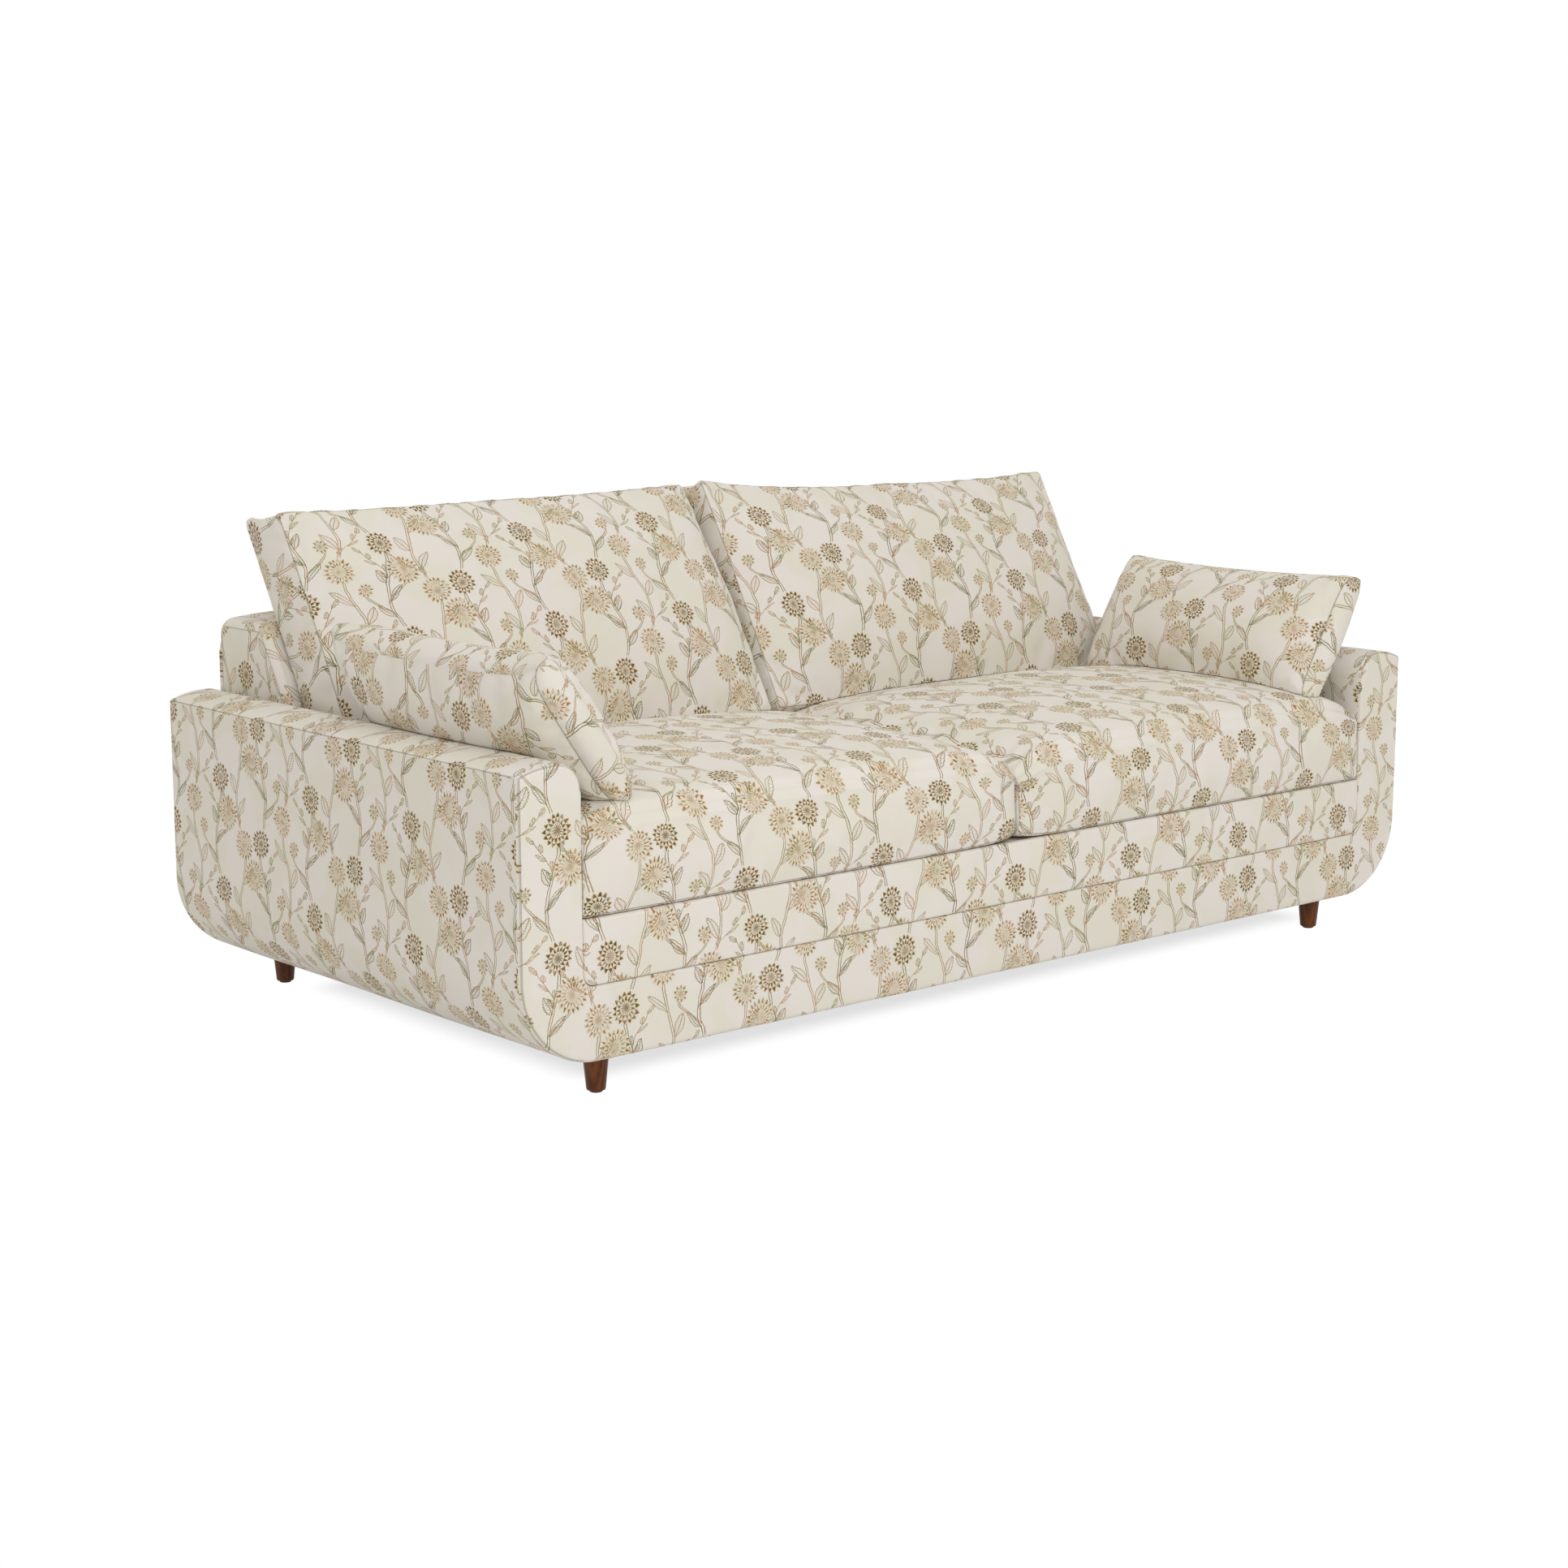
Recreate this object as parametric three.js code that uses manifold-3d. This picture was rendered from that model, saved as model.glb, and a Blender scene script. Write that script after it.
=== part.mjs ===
// Sofa with slab arms, two loose seat cushions, two loose back cushions and two arm pillows.
// Millimetres. X runs to the right as the sofa is faced, Y to its back and Z up.
// The origin is on the floor under the middle of the sofa.

import * as THREE from "three";
import { mergeVertices } from "three/addons/utils/BufferGeometryUtils.js";
import Module from "manifold-3d";

const wasm = await Module();
wasm.setup();

// Body
const overallWidth = 2180;
const overallDepth = 1085;
const footHeight = 69; // floor to the underside of the body
const cornerRadius = 150; // lower outer corners of the body
const padThickness = 14; // foam and cloth over the frame
const clearance = 0.3; // between pieces that touch
const overrun = 5; // how far a cut runs past the face that it opens

// Arms
const armWidth = 121;
const armRise = 240; // from the deck to the outer top seam
const armCrown = 15; // rise of the padded top above the seam
const armShoulder = 30; // from the outer seam to the pull of the crown's curve
const armInnerRadius = 45; // inner top edge
const armEdgeRoll = 9; // rounding round the arm's front and rear faces

// Front and deck
const deckHeight = 303;
const bandHeight = 109; // upper band of the front
const bandCornerRadius = 22;
const bandEdgeRoll = 5;
const flangeWidth = 100; // front and rear covers turned under the body
const dustThickness = 1.2; // black cloth under the body

// Back
const backRise = 136; // from the arm's top to the back's top
const backLean = 29.5; // degrees from the vertical
const leanStartRise = 171; // from the deck to where the inside back starts to lean
const backDepth = 285; // foot of the inside back to the rear of the body
const backRearRadius = 34; // top rear edge of the back
const backFrontRadius = 20; // top front edge of the back
const backCornerRadius = 30; // top corners of the back, seen from the front
const backShoulder = 16; // how far the back's ends reach over the arms
const shoulderLift = 8; // from the arm's top to the underside of a shoulder

// Frame
const railThickness = 24;
const stretcherHeight = 124;
const stretcherSetIn = 5; // from the arm's inner face to the stretcher
const topBoardThickness = 18;
const topBoardSetIn = 21; // from the arm's inner face to the top board
const springRailSetBack = 5; // from the inside back's face to the spring rail
const backPostInset = 30; // from the back's end to its outer posts
const topRailThickness = 24;
const topRailSetBack = 22; // from the inside back's leaning face to the top rail

// Springs
const springsPerSide = 4;
const springPitch = 230;
const springWire = 4;
const springWidth = 52;
const springBends = 16;
const springSteps = 4 * springBends; // faces along a spring
const springRise = 20; // arch of a spring above its ends
const springTail = 22; // straight run at each end
const bendReachShare = 0.3; // where a bend's two corners lie in its step along the spring

// Feet
const footSetIn = 188; // from the outside of the arm to the foot's centre
const footSetBack = 62; // from the front or rear face to the foot's centre
const footTopDiameter = 44;
const footBottomDiameter = 32;
const footChamfer = 2;
const glideDiameter = 22;
const glideThickness = 3;
const glideChamfer = 1;
const boltDiameter = 8;
const boltDepth = 30; // length of the bolt in the foot
const boltReach = 52; // length of the bolt above the foot
const platePlan = 56;
const plateThickness = 2.5;
const blockWidth = 75;
const blockDepth = 63;
const blockHeight = 45;

// Seat cushions
const seatThickness = 166; // at the seams
const seatCrown = 32;
const seatSetBack = 1.5; // from the front face to the cushions
const seatSplit = 2; // between the two cushions
const seatEdgeRadius = 20;
const seatNoseRadius = 62; // top front edge
const seatNoseUnder = 34; // bottom front edge
const seatDrawIn = 4; // along the front and back
const seatSideDraw = 3;
const seatCornerDrop = 30;

// Back cushions
const backCushionHeight = 500; // along its lean
const backCushionThickness = 118; // at the seams
const backCushionCrown = 48;
const backCushionDip = 76; // how far its lower edge lies below the start of the lean
const backCushionSplit = 3;
const backCushionSide = 4; // from the arm's inner face to the cushion
const backCushionEdge = 22;
const backCushionDrawIn = 16; // along the top and bottom
const backCushionSideDraw = 3;

// Arm pillows
const pillowHeight = 286; // along its lean
const pillowThickness = 76; // at the seams
const pillowInnerCrown = 30;
const pillowOuterCrown = 36;
const pillowPress = 3.8; // how deep the arm's top edge reaches into the pillow's full crown
const pillowSetBack = 30; // from the front face to the pillow
const pillowRearGap = 170; // from the pillow to the foot of the inside back
const pillowStandOff = 84; // from the arm's inner face to the pillow's lower outer seam
const pillowSink = 6; // how far that seam lies below the seat cushion's seam
const pillowEdge = 20;
const pillowDrawIn = 9; // along the top and bottom
const pillowEndDraw = 7;

// Sizes that follow
const halfWidth = overallWidth / 2;
const front = -overallDepth / 2;
const rear = overallDepth / 2;
const armInner = halfWidth - armWidth;
const armSeamHeight = deckHeight + armRise;
const armTop = armSeamHeight + armCrown;
const backHeight = armTop + backRise;
const leanStartHeight = deckHeight + leanStartRise;
const innerSide = armInner - clearance; // where what stands between the arms ends
const frameFront = front + padThickness + clearance;
const frameRear = rear - padThickness - clearance;
const frameBottom = footHeight + padThickness + clearance;
const frameTop = deckHeight - padThickness - clearance;
const bandBottom = deckHeight - bandHeight;
const insideBack = rear - backDepth;
const leanAngle = THREE.MathUtils.degToRad(backLean);
const leanSlope = Math.tan(leanAngle);
const springRailFront = insideBack + springRailSetBack;
const seatSeamHeight = deckHeight + clearance + seatThickness;
const footX = halfWidth - footSetIn;
const footTop = footHeight - clearance;
const boreRadius = boltDiameter / 2 + clearance;

// Faces round a full turn, and curve steps, of the turned and drawn shapes
const turnFaces = 24;
const boltFaces = 12;
const curveSteps = 7;
const rollSteps = 2;
const seatCuts = [14, 12, 4];
const backCuts = [14, 10, 3];
const pillowCuts = [12, 8, 3];
const crownPower = 3; // how flat a crown is in its middle
const cornerPower = 6; // how close to its corner a cushion drops
const weld = 1e-4;

const cloth = new THREE.MeshStandardMaterial({ color: 0xe6e0d4, roughness: 0.92, metalness: 0 });
const walnut = new THREE.MeshStandardMaterial({ color: 0x4a2a18, roughness: 0.45, metalness: 0 });
const plywood = new THREE.MeshStandardMaterial({ color: 0xc9a878, roughness: 0.75, metalness: 0 });
const springSteel = new THREE.MeshStandardMaterial({ color: 0x5c5c60, roughness: 0.45, metalness: 0.9 });
const zincSteel = new THREE.MeshStandardMaterial({ color: 0xb4b6b8, roughness: 0.35, metalness: 0.9 });
const nylon = new THREE.MeshStandardMaterial({ color: 0x2b2b2c, roughness: 0.7, metalness: 0 });
const blackCloth = new THREE.MeshStandardMaterial({ color: 0x1c1c1d, roughness: 0.95, metalness: 0 });

// A geometry as a solid that can be joined and cut.
function solidOf(geometry) {
  const bare = geometry.index ? geometry.toNonIndexed() : geometry.clone();
  bare.deleteAttribute("normal");
  bare.deleteAttribute("uv");
  const merged = mergeVertices(bare, weld);
  return new wasm.Manifold(
    new wasm.Mesh({
      numProp: 3,
      vertProperties: merged.attributes.position.array,
      triVerts: Uint32Array.from(merged.index.array),
    }),
  );
}

// A cut solid as a geometry again.
function geometryOf(solid) {
  const { vertProperties, triVerts } = solid.getMesh();
  const geometry = new THREE.BufferGeometry();
  geometry.setAttribute("position", new THREE.BufferAttribute(vertProperties, 3));
  geometry.setIndex(new THREE.BufferAttribute(triVerts, 1));
  geometry.computeVertexNormals();
  return geometry;
}

function piece(name, shape, material) {
  const mesh = new THREE.Mesh(shape.isBufferGeometry ? shape : geometryOf(shape), material);
  mesh.name = name;
  return mesh;
}

// A box from its lowest corner to its highest.
function board(left, right, near, far, bottom, top) {
  const geometry = new THREE.BoxGeometry(right - left, far - near, top - bottom);
  return geometry.translate((left + right) / 2, (near + far) / 2, (bottom + top) / 2);
}

// The outline's points as straight steps, without the doubled points where a line meets an arc.
function stepped(outline) {
  const points = outline.getPoints(curveSteps);
  const apart = (point, i) => point.distanceTo(points.at(i - 1)) > weld;
  return new THREE.Shape(points.filter(apart));
}

// An outline seen from the front (x, z), carried from y = near to y = far, its end edges rolled.
function prismY(outline, near, far, roll = 0) {
  const geometry = new THREE.ExtrudeGeometry(stepped(outline), {
    depth: far - near - 2 * roll,
    bevelEnabled: roll > 0,
    bevelThickness: roll,
    bevelSize: roll,
    bevelOffset: -roll,
    bevelSegments: rollSteps,
  });
  return geometry.rotateX(Math.PI / 2).translate(0, far - roll, 0);
}

// An outline seen from the side (y, z), carried from x = left to x = right.
function prismX(outline, left, right) {
  const geometry = new THREE.ExtrudeGeometry(stepped(outline), {
    depth: right - left,
    bevelEnabled: false,
  });
  const turn = new THREE.Matrix4().makeBasis(
    new THREE.Vector3(0, 1, 0),
    new THREE.Vector3(0, 0, 1),
    new THREE.Vector3(1, 0, 0),
  );
  return geometry.applyMatrix4(turn).translate(left, 0, 0);
}

// A plan outline (x, y), carried from z = bottom to z = top.
function prismZ(outline, bottom, top) {
  const geometry = new THREE.ExtrudeGeometry(outline, {
    depth: top - bottom,
    curveSegments: boltFaces,
    bevelEnabled: false,
  });
  return geometry.translate(0, 0, bottom);
}

// A rectangle in plan with one bolt hole at the given place.
function boredPlate(left, right, near, far, holeX, holeY, bottom, top) {
  const outline = new THREE.Shape();
  outline.moveTo(left, near).lineTo(right, near).lineTo(right, far).lineTo(left, far).closePath();
  const hole = new THREE.Path();
  hole.absarc(holeX, holeY, boreRadius, 0, 2 * Math.PI, true);
  outline.holes.push(hole);
  return prismZ(outline, bottom, top);
}

// The right arm's outline seen from the front, drawn in all round by inset.
function armOutline(inset) {
  const arcX = halfWidth - cornerRadius;
  const arcZ = footHeight + cornerRadius;
  const arc = cornerRadius - inset;
  const inner = armInner + inset;
  const start = Math.acos((inner - arcX) / arc);
  const outline = new THREE.Shape();
  outline.moveTo(inner, arcZ - arc * Math.sin(start));
  outline.absarc(arcX, arcZ, arc, -start, 0, false);
  outline.lineTo(halfWidth - inset, armSeamHeight - inset);
  const crownZ = armTop - inset;
  const innerArcX = armInner + armInnerRadius;
  outline.quadraticCurveTo(halfWidth - inset - armShoulder, crownZ, innerArcX, crownZ);
  outline.absarc(innerArcX, armTop - armInnerRadius, armInnerRadius - inset, Math.PI / 2, Math.PI, false);
  outline.closePath();
  return outline;
}

// The body's outline between two heights, seen from the front, with its round lower corners.
function bodyOutline(inset, top) {
  const half = halfWidth - inset;
  const radius = cornerRadius - inset;
  const arcZ = footHeight + cornerRadius;
  const outline = new THREE.Shape();
  outline.moveTo(half, top).lineTo(half, arcZ);
  outline.absarc(half - radius, arcZ, radius, 0, -Math.PI / 2, true);
  outline.absarc(radius - half, arcZ, radius, -Math.PI / 2, -Math.PI, true);
  outline.lineTo(-half, top).closePath();
  return outline;
}

// The upper band's outline, with rounded lower corners, grown all round by grow.
function bandOutline(grow) {
  const half = innerSide + grow;
  const radius = bandCornerRadius;
  const bottom = bandBottom - grow;
  const outline = new THREE.Shape();
  outline.moveTo(half, deckHeight + grow).lineTo(half, bottom + radius);
  outline.absarc(half - radius, bottom + radius, radius, 0, -Math.PI / 2, true);
  outline.absarc(radius - half, bottom + radius, radius, -Math.PI / 2, -Math.PI, true);
  outline.lineTo(-half, deckHeight + grow).closePath();
  return outline;
}

// How far back the leaning inside face lies at a height.
function leanAt(height) {
  return insideBack + Math.max(height - leanStartHeight, 0) * leanSlope;
}

// The back's section from front to rear, drawn in by inset: upright at first, then leaning.
function backSection(inset, bottom) {
  const top = backHeight - inset;
  const along = inset / Math.cos(leanAngle); // the inset measured level across the lean
  const knee = leanStartHeight + (inset - along) / leanSlope;
  const frontTop = leanAt(top) + along;
  const far = rear - inset;
  const radius = backRearRadius - inset;
  const nose = Math.max(backFrontRadius - inset, clearance);
  const outline = new THREE.Shape();
  outline.moveTo(far, bottom).lineTo(insideBack + inset, bottom).lineTo(insideBack + inset, knee);
  outline.lineTo(frontTop - nose * Math.sin(leanAngle), top - nose * Math.cos(leanAngle));
  outline.quadraticCurveTo(frontTop, top, frontTop + nose, top);
  outline.absarc(far - radius, top - radius, radius, Math.PI / 2, 0, true);
  outline.closePath();
  return outline;
}

// The back seen from the front: it stands between the arms and reaches over them at its shoulders.
function backOutline(inset, bottom, top) {
  const low = innerSide - inset;
  const high = armInner + backShoulder - inset;
  const shoulder = armTop + shoulderLift + inset;
  const radius = backCornerRadius - inset;
  const outline = new THREE.Shape();
  outline.moveTo(-low, bottom).lineTo(low, bottom).lineTo(low, shoulder).lineTo(high, shoulder);
  outline.absarc(high - radius, top - radius, radius, 0, Math.PI / 2, false);
  outline.absarc(radius - high, top - radius, radius, Math.PI / 2, Math.PI, false);
  outline.lineTo(-high, shoulder).lineTo(-low, shoulder).closePath();
  return outline;
}

// The right arm's cover: a padded shell, open inwards below the deck, where the frame passes.
function armCover() {
  const outside = solidOf(prismY(armOutline(0), front, rear, armEdgeRoll));
  const near = front + padThickness;
  const far = rear - padThickness;
  const hollow = solidOf(prismY(armOutline(padThickness), near, far));
  const wallIn = armInner - overrun;
  const wallOut = armInner + padThickness + overrun;
  const way = board(wallIn, wallOut, near, far, frameBottom - clearance, frameTop + clearance);
  return outside.subtract(hollow).subtract(solidOf(way));
}

// The lower band of the front, turned under the body and cut out round the upper band.
function frontLowerCover() {
  const far = front + padThickness;
  const whole = bodyOutline(0, armSeamHeight);
  const plate = solidOf(prismY(whole, front, far + bandEdgeRoll, bandEdgeRoll));
  const tray = board(-innerSide, innerSide, front, front + flangeWidth, footHeight, footHeight + padThickness);
  const strip = board(-innerSide, innerSide, front, far, footHeight, bandBottom + bandCornerRadius);
  const band = solidOf(prismY(bandOutline(clearance), front - overrun, far + overrun));
  const lower = plate.intersect(solidOf(strip)).add(solidOf(tray)).subtract(band);
  return lower.subtract(boltHoles(front + footSetBack));
}

// The outside back: a padded sheet between the arms, turned under the body.
function rearCover() {
  const near = rear - padThickness;
  const sheetTop = backHeight - backRearRadius - clearance;
  const sheet = solidOf(prismY(backOutline(0, footHeight, backHeight), near, rear));
  const low = board(-halfWidth, halfWidth, near, rear, footHeight, sheetTop);
  const tray = board(-innerSide, innerSide, rear - flangeWidth, rear, footHeight, footHeight + padThickness);
  const joined = sheet.intersect(solidOf(low)).add(solidOf(tray));
  return joined.subtract(boltHoles(rear - footSetBack));
}

// The two bolt holes through a flange, at the given depth.
function boltHoles(holeY) {
  const height = padThickness + 2 * overrun;
  const drills = [-footX, footX].map((x) => {
    const drill = new THREE.CylinderGeometry(boreRadius, boreRadius, height, boltFaces);
    return solidOf(drill.rotateX(Math.PI / 2).translate(x, holeY, footHeight + padThickness / 2));
  });
  return drills[0].add(drills[1]);
}

// The inside back, its top and its ends: one padded shell, open at the rear and underneath.
function insideBackCover() {
  const bottom = frameTop + clearance;
  const reach = armInner + backShoulder;
  const outside = solidOf(prismX(backSection(0, bottom), -reach, reach)).intersect(
    solidOf(prismY(backOutline(0, bottom, backHeight), front, rear)),
  );
  const insideReach = reach - padThickness;
  const insideTop = backHeight - padThickness;
  const hollow = solidOf(prismX(backSection(padThickness, bottom - overrun), -insideReach, insideReach)).intersect(
    solidOf(prismY(backOutline(padThickness, bottom - overrun, insideTop), front, rear)),
  );
  const sheetTop = backHeight - backRearRadius;
  const behind = board(-halfWidth, halfWidth, rear - padThickness - clearance, rear + overrun, bottom - overrun, sheetTop);
  return outside.subtract(hollow).subtract(solidOf(behind));
}

// A raked plywood back post, centred on x.
function backPost(x) {
  const inset = padThickness + clearance;
  const outline = backSection(inset, frameTop + clearance);
  const whole = solidOf(prismX(outline, x - railThickness / 2, x + railThickness / 2));
  const underRail = backHeight - inset - topRailThickness - clearance;
  const low = board(x - railThickness, x + railThickness, front, rear, footHeight, underRail);
  return whole.intersect(solidOf(low));
}

function backTopRail() {
  const top = backHeight - padThickness - clearance;
  const reach = armInner + backShoulder - padThickness - clearance;
  const near = leanAt(top) + topRailSetBack;
  const rail = solidOf(board(-reach, reach, near, frameRear, top - topRailThickness, top));
  const inside = padThickness + clearance;
  const section = solidOf(prismX(backSection(inside, frameTop), -reach, reach));
  const face = solidOf(prismY(backOutline(inside, frameTop, top), front, rear));
  return rail.intersect(section).intersect(face);
}

// A sinuous spring: flat square-cornered bends with a shallow arch, and a straight tail at each end.
function seatSpring(x) {
  const near = frameFront + railThickness + clearance;
  const far = springRailFront - clearance;
  const bendRun = far - near - 2 * springTail;
  const step = bendRun / springBends;
  const topZ = frameTop - springWire / 2;
  const points = [];
  const lift = (y) => topZ - springRise + springRise * Math.sin((Math.PI * (y - near)) / (far - near));
  const add = (side, y) => points.push(new THREE.Vector3(x + side, y, lift(y)));
  add(0, near);
  add(0, near + springTail - step / 2);
  for (let bend = 0; bend < springBends; bend += 1) {
    const side = (bend % 2 ? -springWidth : springWidth) / 2;
    const middle = near + springTail + (bend + 1 / 2) * step;
    add(side, middle - step * bendReachShare);
    add(side, middle + step * bendReachShare);
  }
  add(0, far - springTail + step / 2);
  add(0, far);
  const path = new THREE.CatmullRomCurve3(points, false, "centripetal");
  const section = new THREE.Shape();
  const radius = springWire / 2;
  section.moveTo(radius, 0).lineTo(0, radius).lineTo(-radius, 0).lineTo(0, -radius).closePath();
  return new THREE.ExtrudeGeometry(section, { steps: springSteps, bevelEnabled: false, extrudePath: path });
}

// A turned foot, tapered, with a chamfer at each end and a blind bore for its bolt.
function foot(x, y) {
  const topRadius = footTopDiameter / 2;
  const bottomRadius = footBottomDiameter / 2;
  const bottom = glideThickness + clearance;
  const profile = [
    new THREE.Vector2(0, bottom),
    new THREE.Vector2(bottomRadius - footChamfer, bottom),
    new THREE.Vector2(bottomRadius, bottom + footChamfer),
    new THREE.Vector2(topRadius, footTop - footChamfer),
    new THREE.Vector2(topRadius - footChamfer, footTop),
    new THREE.Vector2(boreRadius, footTop),
    new THREE.Vector2(boreRadius, footTop - boltDepth - clearance),
    new THREE.Vector2(0, footTop - boltDepth - clearance),
  ];
  return new THREE.LatheGeometry(profile, turnFaces).rotateX(Math.PI / 2).translate(x, y, 0);
}

function glide(x, y) {
  const radius = glideDiameter / 2;
  const profile = [
    new THREE.Vector2(0, 0),
    new THREE.Vector2(radius - glideChamfer, 0),
    new THREE.Vector2(radius, glideChamfer),
    new THREE.Vector2(radius, glideThickness),
    new THREE.Vector2(0, glideThickness),
  ];
  return new THREE.LatheGeometry(profile, turnFaces).rotateX(Math.PI / 2).translate(x, y, 0);
}

function hangerBolt(x, y) {
  const length = boltDepth + boltReach;
  const bolt = new THREE.CylinderGeometry(boltDiameter / 2, boltDiameter / 2, length, boltFaces);
  return bolt.rotateX(Math.PI / 2).translate(x, y, footTop - boltDepth + length / 2);
}

// Bends the square edges of a padded box to the given radius.
function roundEdges(point, half, radius) {
  const low = half.clone().negate().addScalar(radius);
  const high = half.clone().addScalar(-radius);
  const core = point.clone().clamp(low, high);
  const away = point.clone().sub(core);
  return core.add(away.setLength(radius));
}

// Bends a padded box's long front edge, above or below, to a bigger radius.
function roundNose(point, half, radius, side) {
  const arcY = -half.y + radius;
  const arcZ = side * (half.z - radius);
  const away = new THREE.Vector2(point.y - arcY, point.z - arcZ);
  if (away.x < 0 && away.y * side > 0) {
    away.setLength(radius);
    point.set(point.x, arcY + away.x, arcZ + away.y);
  }
  return point;
}

// A padded box round the origin: its grid bunches towards the edges, its edges are round, its
// sides are drawn in between the corners and its two broad faces are crowned.
function cushionForm(form) {
  const half = new THREE.Vector3(form.width, form.depth, form.thickness).divideScalar(2);
  const [across, along, through] = form.cuts;
  const geometry = new THREE.BoxGeometry(2, 2, 2, across, along, through);
  const places = geometry.attributes.position;
  const bunch = (share) => Math.sin((share * Math.PI) / 2);
  const fullness = (share) => 1 - Math.abs(share) ** crownPower;
  for (let i = 0; i < places.count; i += 1) {
    const a = bunch(places.getX(i));
    const b = bunch(places.getY(i));
    const c = bunch(places.getZ(i));
    const point = new THREE.Vector3(a * half.x, b * half.y, c * half.z);
    if (form.nose) roundNose(point, half, form.nose, 1);
    if (form.noseUnder) roundNose(point, half, form.noseUnder, -1);
    const round = roundEdges(point, half, form.edge);
    round.x -= form.sideDraw * a * (1 - b * b);
    round.y -= form.drawIn * b * (1 - a * a);
    const crown = c > 0 ? form.crownTop : form.crownBottom;
    round.z += crown * c * fullness(a) * fullness(b);
    round.z -= form.cornerDrop * (Math.abs(a * b) ** cornerPower) * Math.max(c, 0);
    places.setXYZ(i, round.x, round.y, round.z);
  }
  return geometry;
}

function seatCushion() {
  const width = innerSide - seatSplit / 2;
  const near = front + seatSetBack;
  const depth = insideBack - clearance - near;
  const form = cushionForm({
    width,
    depth,
    thickness: seatThickness,
    nose: seatNoseRadius,
    noseUnder: seatNoseUnder,
    edge: seatEdgeRadius,
    drawIn: seatDrawIn,
    sideDraw: seatSideDraw,
    crownTop: seatCrown,
    crownBottom: 0,
    cornerDrop: seatCornerDrop,
    cuts: seatCuts,
  });
  const middleZ = deckHeight + clearance + seatThickness / 2;
  return solidOf(form.translate(innerSide - width / 2, near + depth / 2, middleZ));
}

// The back cushion lies along the leaning inside back, and its lower end is pressed to the seat's crown.
function backCushion(seat) {
  const width = innerSide - backCushionSide - backCushionSplit / 2;
  const form = cushionForm({
    width,
    depth: backCushionHeight,
    thickness: backCushionThickness,
    edge: backCushionEdge,
    drawIn: backCushionDrawIn,
    sideDraw: backCushionSideDraw,
    crownTop: backCushionCrown,
    crownBottom: 0,
    cornerDrop: 0,
    cuts: backCuts,
  });
  form.rotateX(Math.PI / 2 - leanAngle);
  const up = backCushionHeight / 2 - backCushionDip;
  const out = clearance + backCushionThickness / 2;
  const middleY = insideBack + up * Math.sin(leanAngle) - out * Math.cos(leanAngle);
  const middleZ = leanStartHeight + up * Math.cos(leanAngle) + out * Math.sin(leanAngle);
  form.translate(innerSide - backCushionSide - width / 2, middleY, middleZ);
  return solidOf(form).subtract(seat.translate([0, 0, clearance]));
}

// The arm pillow stands on the seat cushion, leans out on the arm's inner top edge and is pressed to both.
function armPillow(seat) {
  const length = insideBack - pillowRearGap - front - pillowSetBack;
  const seam = new THREE.Vector2(armInner - pillowStandOff, seatSeamHeight - pillowSink);
  const edge = new THREE.Vector2(armInner + armInnerRadius, armTop - armInnerRadius).sub(seam);
  const reach = armInnerRadius + pillowOuterCrown - pillowPress; // from the edge's middle to the seams
  const lean = Math.acos(reach / edge.length()) - edge.angle();
  const form = cushionForm({
    width: length,
    depth: pillowHeight,
    thickness: pillowThickness,
    edge: pillowEdge,
    drawIn: pillowDrawIn,
    sideDraw: pillowEndDraw,
    crownTop: pillowInnerCrown,
    crownBottom: pillowOuterCrown,
    cornerDrop: 0,
    cuts: pillowCuts,
  });
  const up = new THREE.Vector3(Math.sin(lean), 0, Math.cos(lean));
  const inwards = new THREE.Vector3(-Math.cos(lean), 0, Math.sin(lean));
  form.applyMatrix4(new THREE.Matrix4().makeBasis(new THREE.Vector3(0, -1, 0), up, inwards));
  const middle = new THREE.Vector3(seam.x, front + pillowSetBack + length / 2, seam.y);
  middle.addScaledVector(up, pillowHeight / 2).addScaledVector(inwards, pillowThickness / 2);
  form.translate(middle.x, middle.y, middle.z);
  const arm = solidOf(prismY(armOutline(-clearance), front - overrun, rear + overrun));
  return solidOf(form).subtract(seat.translate([0, 0, clearance])).subtract(arm);
}

// One corner's foot with what holds it: glide, hanger bolt, threaded plate and corner block.
function footSet(end, side) {
  const group = new THREE.Group();
  const y = end === "front" ? front + footSetBack : rear - footSetBack;
  const railFace = frameFront + railThickness + clearance;
  const blockNear = end === "front" ? railFace : -railFace - blockDepth;
  const blockRight = armInner - stretcherSetIn - railThickness - clearance;
  const plateBottom = frameBottom;
  const blockBottom = plateBottom + plateThickness + clearance;
  const plateHalf = platePlan / 2;
  const plateNear = Math.max(y - plateHalf, railFace); // the plate stops at the rail beside it
  const plateFar = Math.min(y + plateHalf, -railFace);
  const plate = [footX - plateHalf, footX + plateHalf, plateNear, plateFar];
  const block = [blockRight - blockWidth, blockRight, blockNear, blockNear + blockDepth];
  const place = end + "_" + side;
  group.add(
    piece("foot_" + place, foot(footX, y), walnut),
    piece("foot_glide_" + place, glide(footX, y), nylon),
    piece("foot_bolt_" + place, hangerBolt(footX, y), zincSteel),
    piece("foot_plate_" + place, boredPlate(...plate, footX, y, plateBottom, plateBottom + plateThickness), zincSteel),
    piece("corner_block_" + place, boredPlate(...block, footX, y, blockBottom, blockBottom + blockHeight), plywood),
  );
  return group;
}

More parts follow.
